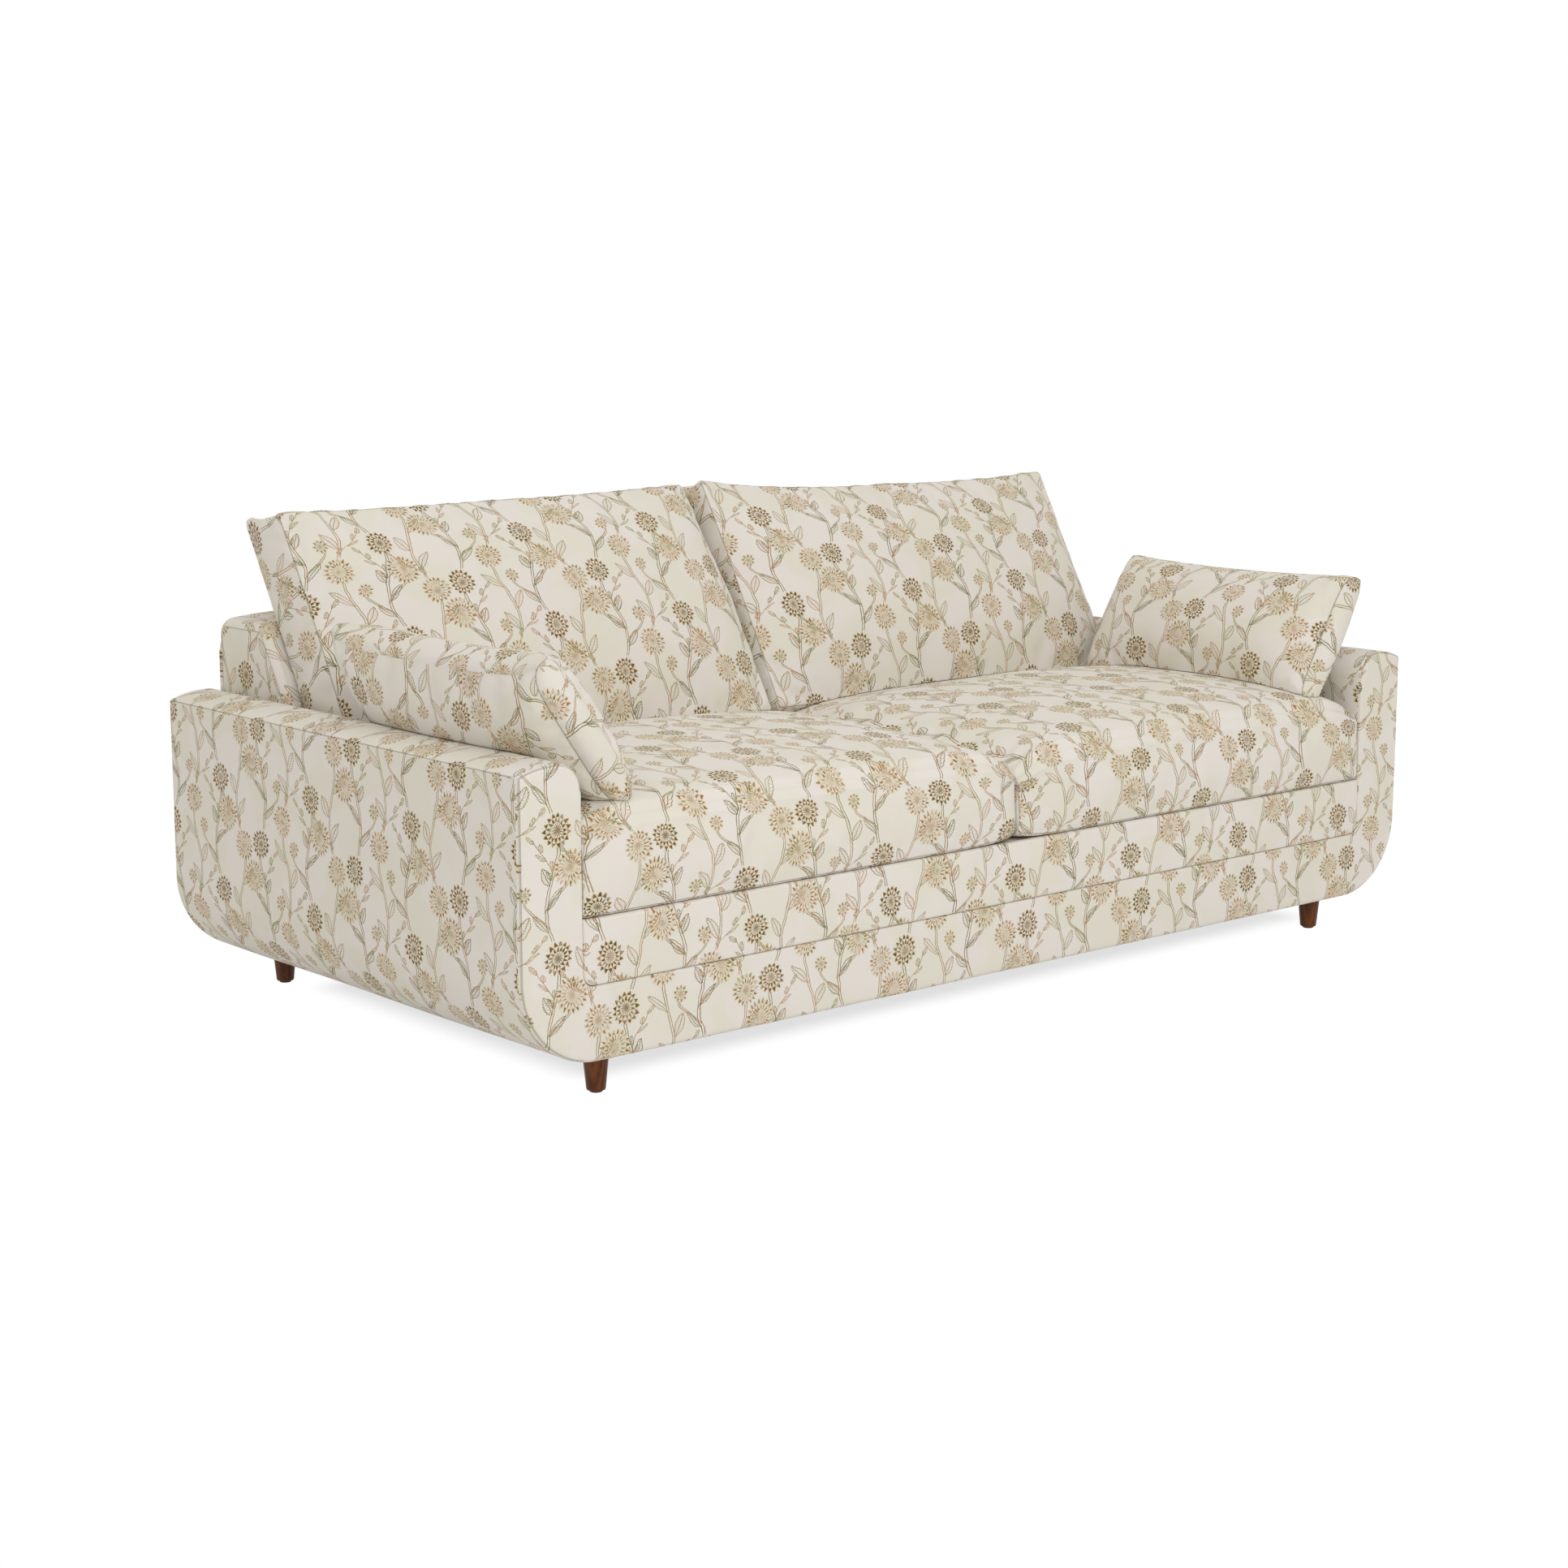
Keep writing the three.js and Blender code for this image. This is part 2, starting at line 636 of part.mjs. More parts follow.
// Everything that stands once on each side, built for the right.
function sidePieces(side) {
  const group = new THREE.Group();
  const behindRail = frameFront + railThickness + clearance;
  const postIn = armInner + padThickness + clearance;
  const postOut = halfWidth - padThickness - clearance;
  const postBottom = frameTop + clearance;
  const boardTop = armSeamHeight - padThickness - clearance;
  const boardBottom = boardTop - topBoardThickness;
  const postTop = boardBottom - clearance;
  const stretcherRight = armInner - stretcherSetIn;
  const stretcherLeft = stretcherRight - railThickness;
  const frontPost = board(postIn, postOut, frameFront, frameFront + railThickness, postBottom, postTop);
  const rearPost = board(postIn, postOut, frameRear - railThickness, frameRear, postBottom, postTop);
  const topBoard = board(armInner + topBoardSetIn, postOut, frameFront, frameRear, boardBottom, boardTop);
  const sideRailBottom = footHeight + cornerRadius + clearance; // above the body's round corner
  const sideRail = board(postOut - railThickness, postOut, behindRail, -behindRail, sideRailBottom, frameTop);
  const stretcherTop = frameBottom + stretcherHeight;
  const stretcher = board(stretcherLeft, stretcherRight, behindRail, -behindRail, frameBottom, stretcherTop);
  group.add(
    piece("arm_cover_" + side, armCover(), cloth),
    piece("arm_front_post_" + side, frontPost, plywood),
    piece("arm_rear_post_" + side, rearPost, plywood),
    piece("arm_top_board_" + side, topBoard, plywood),
    piece("side_rail_" + side, sideRail, plywood),
    piece("stretcher_" + side, stretcher, plywood),
    piece("back_post_" + side, backPost(innerSide - padThickness - backPostInset), plywood),
    footSet("front", side),
    footSet("rear", side),
  );
  for (let i = 0; i < springsPerSide; i += 1) {
    group.add(piece("seat_spring_" + (i + 1) + "_" + side, seatSpring((i + 1 / 2) * springPitch), springSteel));
  }
  const seat = seatCushion();
  group.add(
    piece("seat_cushion_" + side, seat, cloth),
    piece("back_cushion_" + side, backCushion(seat), cloth),
    piece("arm_pillow_" + side, armPillow(seat), cloth),
  );
  return group;
}

// Everything that spans the sofa.
function middlePieces() {
  const group = new THREE.Group();
  const behindRail = frameFront + railThickness + clearance;
  const railOutline = bodyOutline(padThickness + clearance, frameTop);
  const frontRail = prismY(railOutline, frameFront, frameFront + railThickness);
  const rearRail = prismY(railOutline, frameRear - railThickness, frameRear);
  const stretcherTop = frameBottom + stretcherHeight;
  const half = railThickness / 2;
  const stretcher = board(-half, half, behindRail, -behindRail, frameBottom, stretcherTop);
  const springRailFar = springRailFront + railThickness;
  const springRailBottom = stretcherTop + clearance;
  const springRail = board(-innerSide, innerSide, springRailFront, springRailFar, springRailBottom, frameTop);
  const band = prismY(bandOutline(0), front, front + padThickness, bandEdgeRoll);
  const deckNear = front + padThickness + clearance;
  const deck = board(-innerSide, innerSide, deckNear, insideBack - clearance, frameTop + clearance, deckHeight);
  const dustEnd = flangeWidth + clearance;
  const dustTop = frameBottom - clearance;
  const dust = board(-innerSide, innerSide, front + dustEnd, rear - dustEnd, dustTop - dustThickness, dustTop);
  group.add(
    piece("front_rail", frontRail, plywood),
    piece("rear_rail", rearRail, plywood),
    piece("spring_rail", springRail, plywood),
    piece("centre_stretcher", stretcher, plywood),
    piece("centre_back_post", backPost(0), plywood),
    piece("back_top_rail", backTopRail(), plywood),
    piece("front_band_cover", band, cloth),
    piece("front_lower_cover", frontLowerCover(), cloth),
    piece("seat_deck_cover", deck, cloth),
    piece("inside_back_cover", insideBackCover(), cloth),
    piece("rear_cover", rearCover(), cloth),
    piece("dust_cover", dust, blackCloth),
  );
  return group;
}

const sofa = new THREE.Group();
const leftSide = sidePieces("left");
leftSide.scale.x = -1;
sofa.add(middlePieces(), sidePieces("right"), leftSide);

export default sofa;
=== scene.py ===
import math

import bmesh
import bpy
import numpy as np
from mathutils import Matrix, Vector


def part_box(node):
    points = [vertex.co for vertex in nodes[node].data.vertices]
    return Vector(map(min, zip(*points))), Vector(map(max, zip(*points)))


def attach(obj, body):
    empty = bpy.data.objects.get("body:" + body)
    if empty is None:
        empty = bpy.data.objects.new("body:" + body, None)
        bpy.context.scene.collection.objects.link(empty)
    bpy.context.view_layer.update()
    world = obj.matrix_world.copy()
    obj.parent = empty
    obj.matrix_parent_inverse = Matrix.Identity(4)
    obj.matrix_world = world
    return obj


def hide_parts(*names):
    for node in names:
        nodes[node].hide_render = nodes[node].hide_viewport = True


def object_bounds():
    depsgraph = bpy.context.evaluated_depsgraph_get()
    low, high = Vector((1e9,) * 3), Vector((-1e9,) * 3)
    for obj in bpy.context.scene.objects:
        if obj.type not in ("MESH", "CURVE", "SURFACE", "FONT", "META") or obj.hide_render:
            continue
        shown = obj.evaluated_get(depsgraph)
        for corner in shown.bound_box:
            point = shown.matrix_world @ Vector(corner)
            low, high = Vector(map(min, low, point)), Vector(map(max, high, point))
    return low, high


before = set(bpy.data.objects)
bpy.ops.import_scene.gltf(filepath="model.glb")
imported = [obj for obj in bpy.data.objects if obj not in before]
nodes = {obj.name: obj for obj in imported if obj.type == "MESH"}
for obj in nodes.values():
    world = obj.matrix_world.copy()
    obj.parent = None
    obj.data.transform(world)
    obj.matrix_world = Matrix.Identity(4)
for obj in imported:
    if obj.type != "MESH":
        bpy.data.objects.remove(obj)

cad_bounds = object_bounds()
scene = bpy.context.scene
scene.view_settings.view_transform = "Standard"

# Camera. It stands at eye height for someone sitting, off the front left corner of the sofa, and
# looks down a little. The lens takes in 30.8 degrees across.
image_width, focal_length = 1932, 3509.3  # in pixels
camera = bpy.data.objects.new("camera", bpy.data.cameras.new("camera"))
camera.data.sensor_width = 36.0
camera.data.lens = 36.0 * focal_length / image_width
camera.location = (-3.5799, -4.0484, 1.2998)
camera.rotation_euler = (math.radians(79.875), 0.0, math.radians(-40.80))
scene.collection.objects.link(camera)
scene.camera = camera

# Inner frame. Rails, posts and ribs are cut from 24 mm birch plywood, and the arms' top boards
# from 18 mm. They are glued and screwed, and their edges show the plies. Solid blocks stand in
# the corners over the feet.


class Value:
    """A socket of a finish's nodes. Arithmetic on it adds the Math nodes that it needs."""

    def __init__(self, tree, socket=None):
        self.tree, self.socket = tree, socket

    def node(self, kind, settings=None, inputs=None, out=0):
        """Adds any node: its settings are set first, then the values or links of its sockets."""
        made = self.tree.nodes.new(kind)
        for name, value in (settings or {}).items():
            setattr(made, name, value)
        for name, value in (inputs or {}).items():
            if isinstance(value, Value):
                self.tree.links.new(value.socket, made.inputs[name])
            else:
                made.inputs[name].default_value = value
        return Value(self.tree, made.outputs[out])

    def other(self, out):
        """Another output of the same node."""
        return Value(self.tree, self.socket.node.outputs[out])

    def parts(self):
        """The x, y and z of a vector."""
        x = self.node("ShaderNodeSeparateXYZ", None, {0: self})
        return x, x.other(1), x.other(2)

    def math(self, operation, *terms):
        settings = {"operation": operation}
        return self.node("ShaderNodeMath", settings, dict(enumerate((self, *terms))))

    def __add__(self, other):
        return self.math("ADD", other)

    __radd__ = __add__

    def __sub__(self, other):
        return self.math("SUBTRACT", other)

    def __rsub__(self, other):
        return (self * -1.0) + other

    def __mul__(self, other):
        return self.math("MULTIPLY", other)

    __rmul__ = __mul__

    def __truediv__(self, other):
        return self.math("DIVIDE", other)

    def __pow__(self, other):
        return self.math("POWER", other)

    def __lt__(self, other):
        return self.math("LESS_THAN", other)

    def __abs__(self):
        return self.math("ABSOLUTE")

    def __floor__(self):
        return self.math("FLOOR")

    def most(self, other):
        return self.math("MAXIMUM", other)

    def zigzag(self, reach):
        """Climbs from 0 to reach and comes back, over and over."""
        return self.math("PINGPONG", reach)

    def near(self, middle, reach):
        """1 within reach of middle, else 0."""
        return self.math("COMPARE", middle, reach)

    def fade(self, start, end, first=1.0, last=0.0):
        """Runs smoothly from first at start to last at end."""
        settings = {"interpolation_type": "SMOOTHSTEP"}
        limits = {"From Min": start, "From Max": end, "To Min": first, "To Max": last}
        return self.node("ShaderNodeMapRange", settings, {"Value": self, **limits})

    def rise(self, start, end):
        """Runs smoothly from 0 at start to 1 at end."""
        return self.fade(start, end, 0.0, 1.0)

    def over(self, first, second):
        """The second colour over the first, by this amount."""
        inputs = {"Factor": self, 6: first, 7: second}
        return self.node("ShaderNodeMix", {"data_type": "RGBA"}, inputs, out=2)


def colour(red, green, blue):
    """A linear colour from the usual 0 to 255 values."""
    shares = [c / 255 for c in (red, green, blue)]
    return tuple(s / 12.92 if s <= 0.04 else ((s + 0.055) / 1.055) ** 2.4 for s in shares) + (1.0,)


def new_finish(name, **constants):
    """A material whose shader has the given constants all over, and its Object coordinates."""
    material = bpy.data.materials.new(name)
    material.use_nodes = True
    shader = material.node_tree.nodes["Principled BSDF"]
    for socket, value in constants.items():
        shader.inputs[socket.replace("_", " ")].default_value = value
    return material, Value(material.node_tree).node("ShaderNodeTexCoord", out=3)


def finished(material, base, roughness, height, distance, strength):
    """The material with its colour, its roughness and a bump: a height of 0 to 1 over a distance
    in metres, at a strength."""
    relief = {"Strength": strength, "Distance": distance, "Height": height}
    normal = height.node("ShaderNodeBump", None, relief)
    shader = material.node_tree.nodes["Principled BSDF"]
    for socket, value in (("Base Color", base), ("Roughness", roughness), ("Normal", normal)):
        material.node_tree.links.new(value.socket, shader.inputs[socket])
    return material


def stretched(place, scale, detail=2.0, rough=0.5):
    """Noise from 0 to 1 whose cells are drawn out by a scale for each direction."""
    moved = place.node("ShaderNodeMapping", None, {"Vector": place, "Scale": scale})
    settings = {"Vector": moved, "Scale": 1.0, "Detail": detail, "Roughness": rough}
    return place.node("ShaderNodeTexNoise", None, settings)


def plywood(name, through, along, ply=0.0017):
    """Birch plywood. Through its thickness, plies change tone at each 1.7 mm, on the edges only.
    On its faces, noise drawn out along the grain goes from pale to honey."""
    material, place = new_finish(name, Specular_IOR_Level=0.35)
    grain = [260.0, 260.0, 260.0]
    grain[along] = 14.0
    figure = stretched(place, grain, detail=4.0, rough=0.6)
    broad = stretched(place, [g / 7 for g in grain], detail=1.0)
    face = (figure * 0.6 + broad * 0.4).rise(0.35, 0.68)
    wood = face.over(colour(222, 194, 150), colour(186, 148, 100))
    plies = (place.parts()[through] / ply).zigzag(1.0).rise(0.35, 0.65)
    facing = place.node("ShaderNodeNewGeometry", out=1)
    edge = abs(facing.parts()[through]) < 0.5
    cut = (plies * 0.75 + figure * 0.25).over(colour(206, 172, 124), colour(128, 92, 56))
    roughness, height = figure.fade(0.2, 0.8, 0.58, 0.78), figure + edge * plies * 0.8
    return finished(material, edge.over(wood, cut), roughness, height, 0.0004, 0.5)


def refinish(material, *names):
    """Gives a material to carried-over nodes, in every slot they have."""
    for name in names:
        for slot in nodes[name].material_slots:
            slot.material = material


sides = {"left": -1.0, "right": 1.0}


def each_side(*pieces):
    """The nodes' names for pieces that the left and the right side both have."""
    return [f"{piece}_{side}" for piece in pieces for side in sides]


across = plywood("plywood across", through=0, along=1)
lengthways = plywood("plywood lengthways", through=1, along=0)
upright = plywood("plywood upright", through=0, along=2)
level = plywood("plywood level", through=2, along=0)
boards = plywood("plywood boards", through=2, along=1)
refinish(lengthways, "front_rail", "rear_rail", "spring_rail")
refinish(lengthways, *each_side("arm_front_post", "arm_rear_post"))
refinish(across, "centre_stretcher", *each_side("stretcher", "side_rail"))
refinish(upright, "centre_back_post", *each_side("back_post"))
refinish(level, "back_top_rail")
refinish(boards, *each_side("arm_top_board"))


def beech(name):
    """Solid beech: pale brown, with short dark flecks drawn out along the upright grain."""
    material, place = new_finish(name, Specular_IOR_Level=0.3)
    tone = stretched(place, (120.0, 120.0, 9.0), detail=3.0)
    flecks = stretched(place, (900.0, 900.0, 160.0), detail=1.0).rise(0.62, 0.7)
    wood = tone.rise(0.35, 0.65).over(colour(214, 178, 138), colour(186, 144, 104))
    wood = (flecks * 0.6).over(wood, colour(150, 108, 74))
    return finished(material, wood, tone.fade(0.3, 0.7, 0.55, 0.7), tone + flecks, 0.0002, 0.4)


refinish(beech("beech"), *each_side("corner_block_front", "corner_block_rear"))

# Seat springs and foot hardware. Eight sinuous springs of 4 mm drawn wire run from the front rail
# to the spring rail, oiled and nearly black. Bolts and threaded plates are stamped or rolled
# steel with a dull zinc coat. A nylon glide is nailed under each foot.


def drawn_wire(name):
    """Oiled spring wire: dark grey, with fine streaks of wear and a little bloom of rust."""
    material, place = new_finish(name, Metallic=0.85)
    wear = stretched(place, (700.0, 90.0, 700.0), detail=3.0)
    rust = stretched(place, (60.0, 25.0, 60.0), detail=3.0).fade(0.62, 0.76, 0.0, 0.5)
    steel = wear.rise(0.35, 0.7).over(colour(70, 70, 74), colour(122, 122, 126))
    steel = rust.over(steel, colour(104, 66, 44))
    roughness = wear.fade(0.3, 0.7, 0.5, 0.32) + rust * 0.5
    return finished(material, steel, roughness, wear, 0.0001, 0.4)


def zinc(name):
    """Zinc coat: cells of spangle in slightly different greys, with dull smears."""
    material, place = new_finish(name, Metallic=0.95)
    cells = place.node("ShaderNodeTexVoronoi", None, {"Vector": place, "Scale": 260.0}, out=1)
    smear = stretched(place, (60.0, 60.0, 60.0), detail=3.0)
    tone = cells.parts()[0] * 0.6 + smear * 0.4
    greys = tone.over(colour(150, 152, 154), colour(206, 208, 210))
    return finished(material, greys, smear.fade(0.3, 0.7, 0.28, 0.48), smear, 0.0001, 0.3)


def moulded_nylon(name):
    """Black nylon: a fine grain from the mould, scuffed paler in small spots."""
    material, place = new_finish(name, Specular_IOR_Level=0.4)
    grain = stretched(place, (1500.0, 1500.0, 1500.0), detail=1.0)
    scuffs = stretched(place, (220.0, 220.0, 220.0), detail=3.0).fade(0.58, 0.72, 0.0, 0.6)
    black = scuffs.over(colour(38, 38, 40), colour(82, 82, 84))
    roughness = grain.fade(0.3, 0.7, 0.5, 0.64) + scuffs * 0.2
    return finished(material, black, roughness, grain, 0.0001, 0.5)


springs = each_side(*(f"seat_spring_{number}" for number in (1, 2, 3, 4)))
refinish(drawn_wire("oiled spring wire"), *springs)
dull_zinc = zinc("dull zinc")
refinish(dull_zinc, *each_side("foot_bolt_front", "foot_bolt_rear"))
refinish(dull_zinc, *each_side("foot_plate_front", "foot_plate_rear"))
refinish(moulded_nylon("black nylon"), *each_side("foot_glide_front", "foot_glide_rear"))

# Feet. Four short tapered feet are turned from walnut, 44 mm across at the top and 32 at the
# bottom, stained dark and finished satin. Each is screwed up to its plate by a hanger bolt.
no_seam = 60.0  # millimetres from a seam, past which the cloth shows nothing of it


def sewn_mesh(name, patches, outward=None):
    """One mesh from patches. A patch is a grid of points, the same grid laid flat in metres, and
    each point's distance from the nearest seam in millimetres, if it has any. Points that meet are
    merged, and faces are turned outwards: all round for a closed form, or towards outward for a
    sheet."""
    faces, start = [], 0
    for points, flat, away in patches:
        rows, columns = points.shape[:2]
        corner = start + np.arange(rows - 1)[:, None] * columns + np.arange(columns - 1)[None, :]
        ring = [corner, corner + 1, corner + columns + 1, corner + columns]
        faces.append(np.stack(ring, axis=-1).reshape(-1, 4))
        start += rows * columns
    faces = np.concatenate(faces)
    points = np.concatenate([p.reshape(-1, 3) for p, _, _ in patches])
    flat = np.concatenate([f.reshape(-1, 2) for _, f, _ in patches])
    away = np.concatenate([(np.zeros(p.shape[:2]) + a).ravel() for p, _, a in patches])
    mesh = bpy.data.meshes.new(name)
    mesh.from_pydata(points.tolist(), [], faces.tolist())
    mesh.uv_layers.new(name="UVMap").data.foreach_set("uv", flat[faces].ravel())
    seam = mesh.attributes.new("seam", "FLOAT", "POINT")
    seam.data.foreach_set("value", np.minimum(away, no_seam))
    work = bmesh.new()
    work.from_mesh(mesh)
    bmesh.ops.remove_doubles(work, verts=work.verts, dist=2e-5)
    bmesh.ops.dissolve_degenerate(work, edges=work.edges, dist=1e-6)
    bmesh.ops.recalc_face_normals(work, faces=work.faces)
    if outward is not None:
        facing = sum(face.normal.dot(outward) * face.calc_area() for face in work.faces)
        if facing < 0:
            bmesh.ops.reverse_faces(work, faces=work.faces)
    work.to_mesh(mesh)
    work.free()
    mesh.polygons.foreach_set("use_smooth", [True] * len(mesh.polygons))
    return mesh


def fitted(mesh, body, finish, node):
    """Puts a mesh in the scene: it rides with a body, has a finish and a slot, and stands for a
    node."""
    piece = bpy.data.objects.new(mesh.name, mesh)
    scene.collection.objects.link(piece)
    mesh.materials.append(finish)
    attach(piece, body)
    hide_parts(node)
    return piece


def turned(centre, profile, steps=56):
    """A profile of (radius, height) carried round the upright axis through centre."""
    turn = np.linspace(0.0, 2 * np.pi, steps + 1)
    radius, height = (np.array(c)[:, None] for c in zip(*profile))
    x = centre[0] + radius * np.cos(turn)
    y = centre[1] + radius * np.sin(turn)
    points = np.stack([x, y, height + 0 * turn], axis=-1)
    flat = np.stack([turn * 0.02 + 0 * radius, height + 0 * turn], axis=-1)
    return points, flat, no_seam


def walnut(name):
    """Dark walnut. Growth rings are waves of the distance from an axis beside the foot, bent by
    noise; pores are short dark dashes along the upright grain."""
    material, place = new_finish(name, Specular_IOR_Level=0.2)
    bend = stretched(place, (38.0, 38.0, 6.0), detail=3.0)
    x, y, _ = place.parts()
    rings = ((x * 0.8 + y * 0.6) * 210.0 + bend * 5.0).zigzag(1.0)
    pores = stretched(place, (1300.0, 1300.0, 70.0), detail=1.0).rise(0.56, 0.66)
    wood = (rings * 0.7 + bend * 0.3).over(colour(124, 70, 30), colour(66, 34, 14))
    wood = (pores * 0.55).over(wood, colour(40, 22, 12))
    roughness = bend.fade(0.3, 0.7, 0.34, 0.46) + pores * 0.1
    return finished(material, wood, roughness, 1.0 - pores, 0.0001, 0.5)


dark_walnut = walnut("dark walnut")
taper, toe_round, toe_spare = 0.006, 0.0022, 0.0001
for end, side in ((end, side) for end in ("front", "rear") for side in sides):
    # The profile goes out along the bottom, round the toe, up the taper and in over the top.
    low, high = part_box(f"foot_{end}_{side}")
    wide, foot, top = (high.x - low.x) / 2, low.z, high.z
    narrow = wide - taper
    profile = [(0.0, foot), (narrow * 0.55, foot), (narrow - toe_round, foot)]
    profile += [(narrow - 0.0007, foot + 0.0006), (narrow + toe_spare, foot + toe_round)]
    rising = top - foot - toe_round - 0.0012
    for share in np.linspace(0.05, 0.98, 14):
        profile.append((narrow + toe_spare + taper * share, foot + toe_round + rising * share))
    profile += [(wide - 0.0002, top - 0.0006), (wide - 0.0012, top), (wide * 0.5, top), (0.0, top)]
    foot_form = turned(((low.x + high.x) / 2, (low.y + high.y) / 2), profile)
    mesh = sewn_mesh(f"turned_foot_{end}_{side}", [foot_form])
    fitted(mesh, "sofa_body", dark_walnut, f"foot_{end}_{side}")

# Arm covers. Each arm is wrapped in quilted polyester and a printed linen cloth, in a box that
# runs from the body's big round lower corner up the outside, over a low crown and down the inside.
# The cloth is seamed along the top outer edge and round the front.

COLUMN, DROP = 152.0, 204.0  # repeat of the print across and up, in millimetres
INK = 1.25  # width of its lines


def ink_line(distance, width=INK):
    """1 on a drawn line, 0 off it, for a distance from the line's middle."""
    return abs(distance).fade(width * 0.25, width * 0.95)


def sprig_place(u, v, shift, drop, other_drop):
    """Place in a column's sprig: x is mirrored in every second column, and y starts lower there."""
    across = u + shift
    column = math.floor(across / COLUMN)
    odd = column.zigzag(1.0)
    x = (across - (column + 0.5) * COLUMN) * (1.0 - 2.0 * odd)
    lifted = v + drop + odd * (other_drop - drop)
    y = lifted - (math.floor(lifted / DROP) + 0.5) * DROP
    return x, y


def between(y, low, high):
    """1 from low to high, else 0."""
    return y.near((low + high) / 2, (high - low) / 2)


def winding(y, reach):
    """A main stem's middle, one sine wave of the given reach to a drop, and the wave's slope."""
    rate = 2 * math.pi / DROP
    turn = y * rate
    return turn.math("SINE") * reach, turn.math("COSINE") * (reach * rate)


def stem(x, y, middle, slope, low, high, gap):
    """Two lines, gap each side of the curve x = middle, thinned by the curve's slope."""
    across = (x - middle) / (slope * slope + 1.0) ** 0.5
    return ink_line(abs(across) - gap) * between(y, low, high)


def branch(x, y, main, low, high, away, steep, gap):
    """A stem that leaves the main one between two heights. It ends so far away from it, by the
    smooth step s, and its slope is steep times s (1 - s)."""
    reach = y.rise(low, high)
    return stem(x, y, main + reach * away, reach * (1.0 - reach) * steep, low, high, gap)


def leaves(x, y, middle, pitch, low, high, long, wide, slant):
    """A leaf on each side of a stem in turn: an almond outline, long and wide each way from its
    middle and toothed by a zigzag, with a midrib and side veins. It slants so many degrees."""
    step = math.floor((y - low) / pitch)
    side = 1.0 - 2.0 * step.zigzag(1.0)
    sine, cosine = math.sin(math.radians(slant)), math.cos(math.radians(slant))
    out = (x - middle) * side
    up = y - low - (step + 0.5) * pitch + (long + 3.0) * sine
    along = out * cosine + up * sine - (long + 3.0)
    off = abs(up * cosine - out * sine)
    edge = (1.0 - (along / long) ** 2.0) * wide
    teeth = (along + 200.0).zigzag(2.6) * 0.5
    outline = ink_line(off - edge - teeth, INK * 0.9) * along.near(0.0, long * 1.06)
    rib = ink_line(off, INK * 0.8) * along.near(-1.0, long)
    veins = (along - off * 0.8 + 200.0).zigzag(2.4).fade(0.1, 0.8) * (off < edge)
    return outline.most(rib).most(veins * 0.55) * between(y, low, high)


def spray(x, y, main, low, high, away, pitch, leaf_low, leaf_high, long, wide):
    """A single line that leaves the main stem as a branch does, with small leaves along it."""
    middle = main + y.rise(low, high) * away
    line = ink_line(x - middle) * between(y, low, high)
    return line.most(leaves(x, y, middle, pitch, leaf_low, leaf_high, long, wide, 55))


def bloom(x, y, radius, rays, rings, full):
    """A round flower and its disc: rings of short rays, each ring half a ray out of step with the
    one inside it. A ray's width falls from full to a point across its ring, and the rays' tips
    stand out of the disc's edge."""
    r = (x * x + y * y) ** 0.5
    ring = (r / radius) ** 1.25 * rings
    step = math.floor(ring)
    ray = y.math("ARCTAN2", x) * (rays / (2 * math.pi)) + step * 0.5 + 40.0
    from_ray = ray.zigzag(0.5)
    stroke = (from_ray - (ring - step).fade(0.0, 1.0, full, 0.06)).fade(-0.07, 0.07)
    disc = (r / radius + from_ray * 0.3).fade(0.98, 1.06)
    return stroke * disc, disc


def cloth_noise(uv, scale, detail=1.0, out=0):
    """Noise from 0 to 1 on the flat cloth, with so many cells to the metre."""
    inputs = {"Vector": uv, "Scale": scale, "Detail": detail}
    return uv.node("ShaderNodeTexNoise", {"noise_dimensions": "2D"}, inputs, out)


def scaled(vector, size, shift):
    """A flat vector times a size, plus a shift."""
    terms = {0: vector, 1: (size, size, 0.0), 2: shift}
    return vector.node("ShaderNodeVectorMath", {"operation": "MULTIPLY_ADD"}, terms)


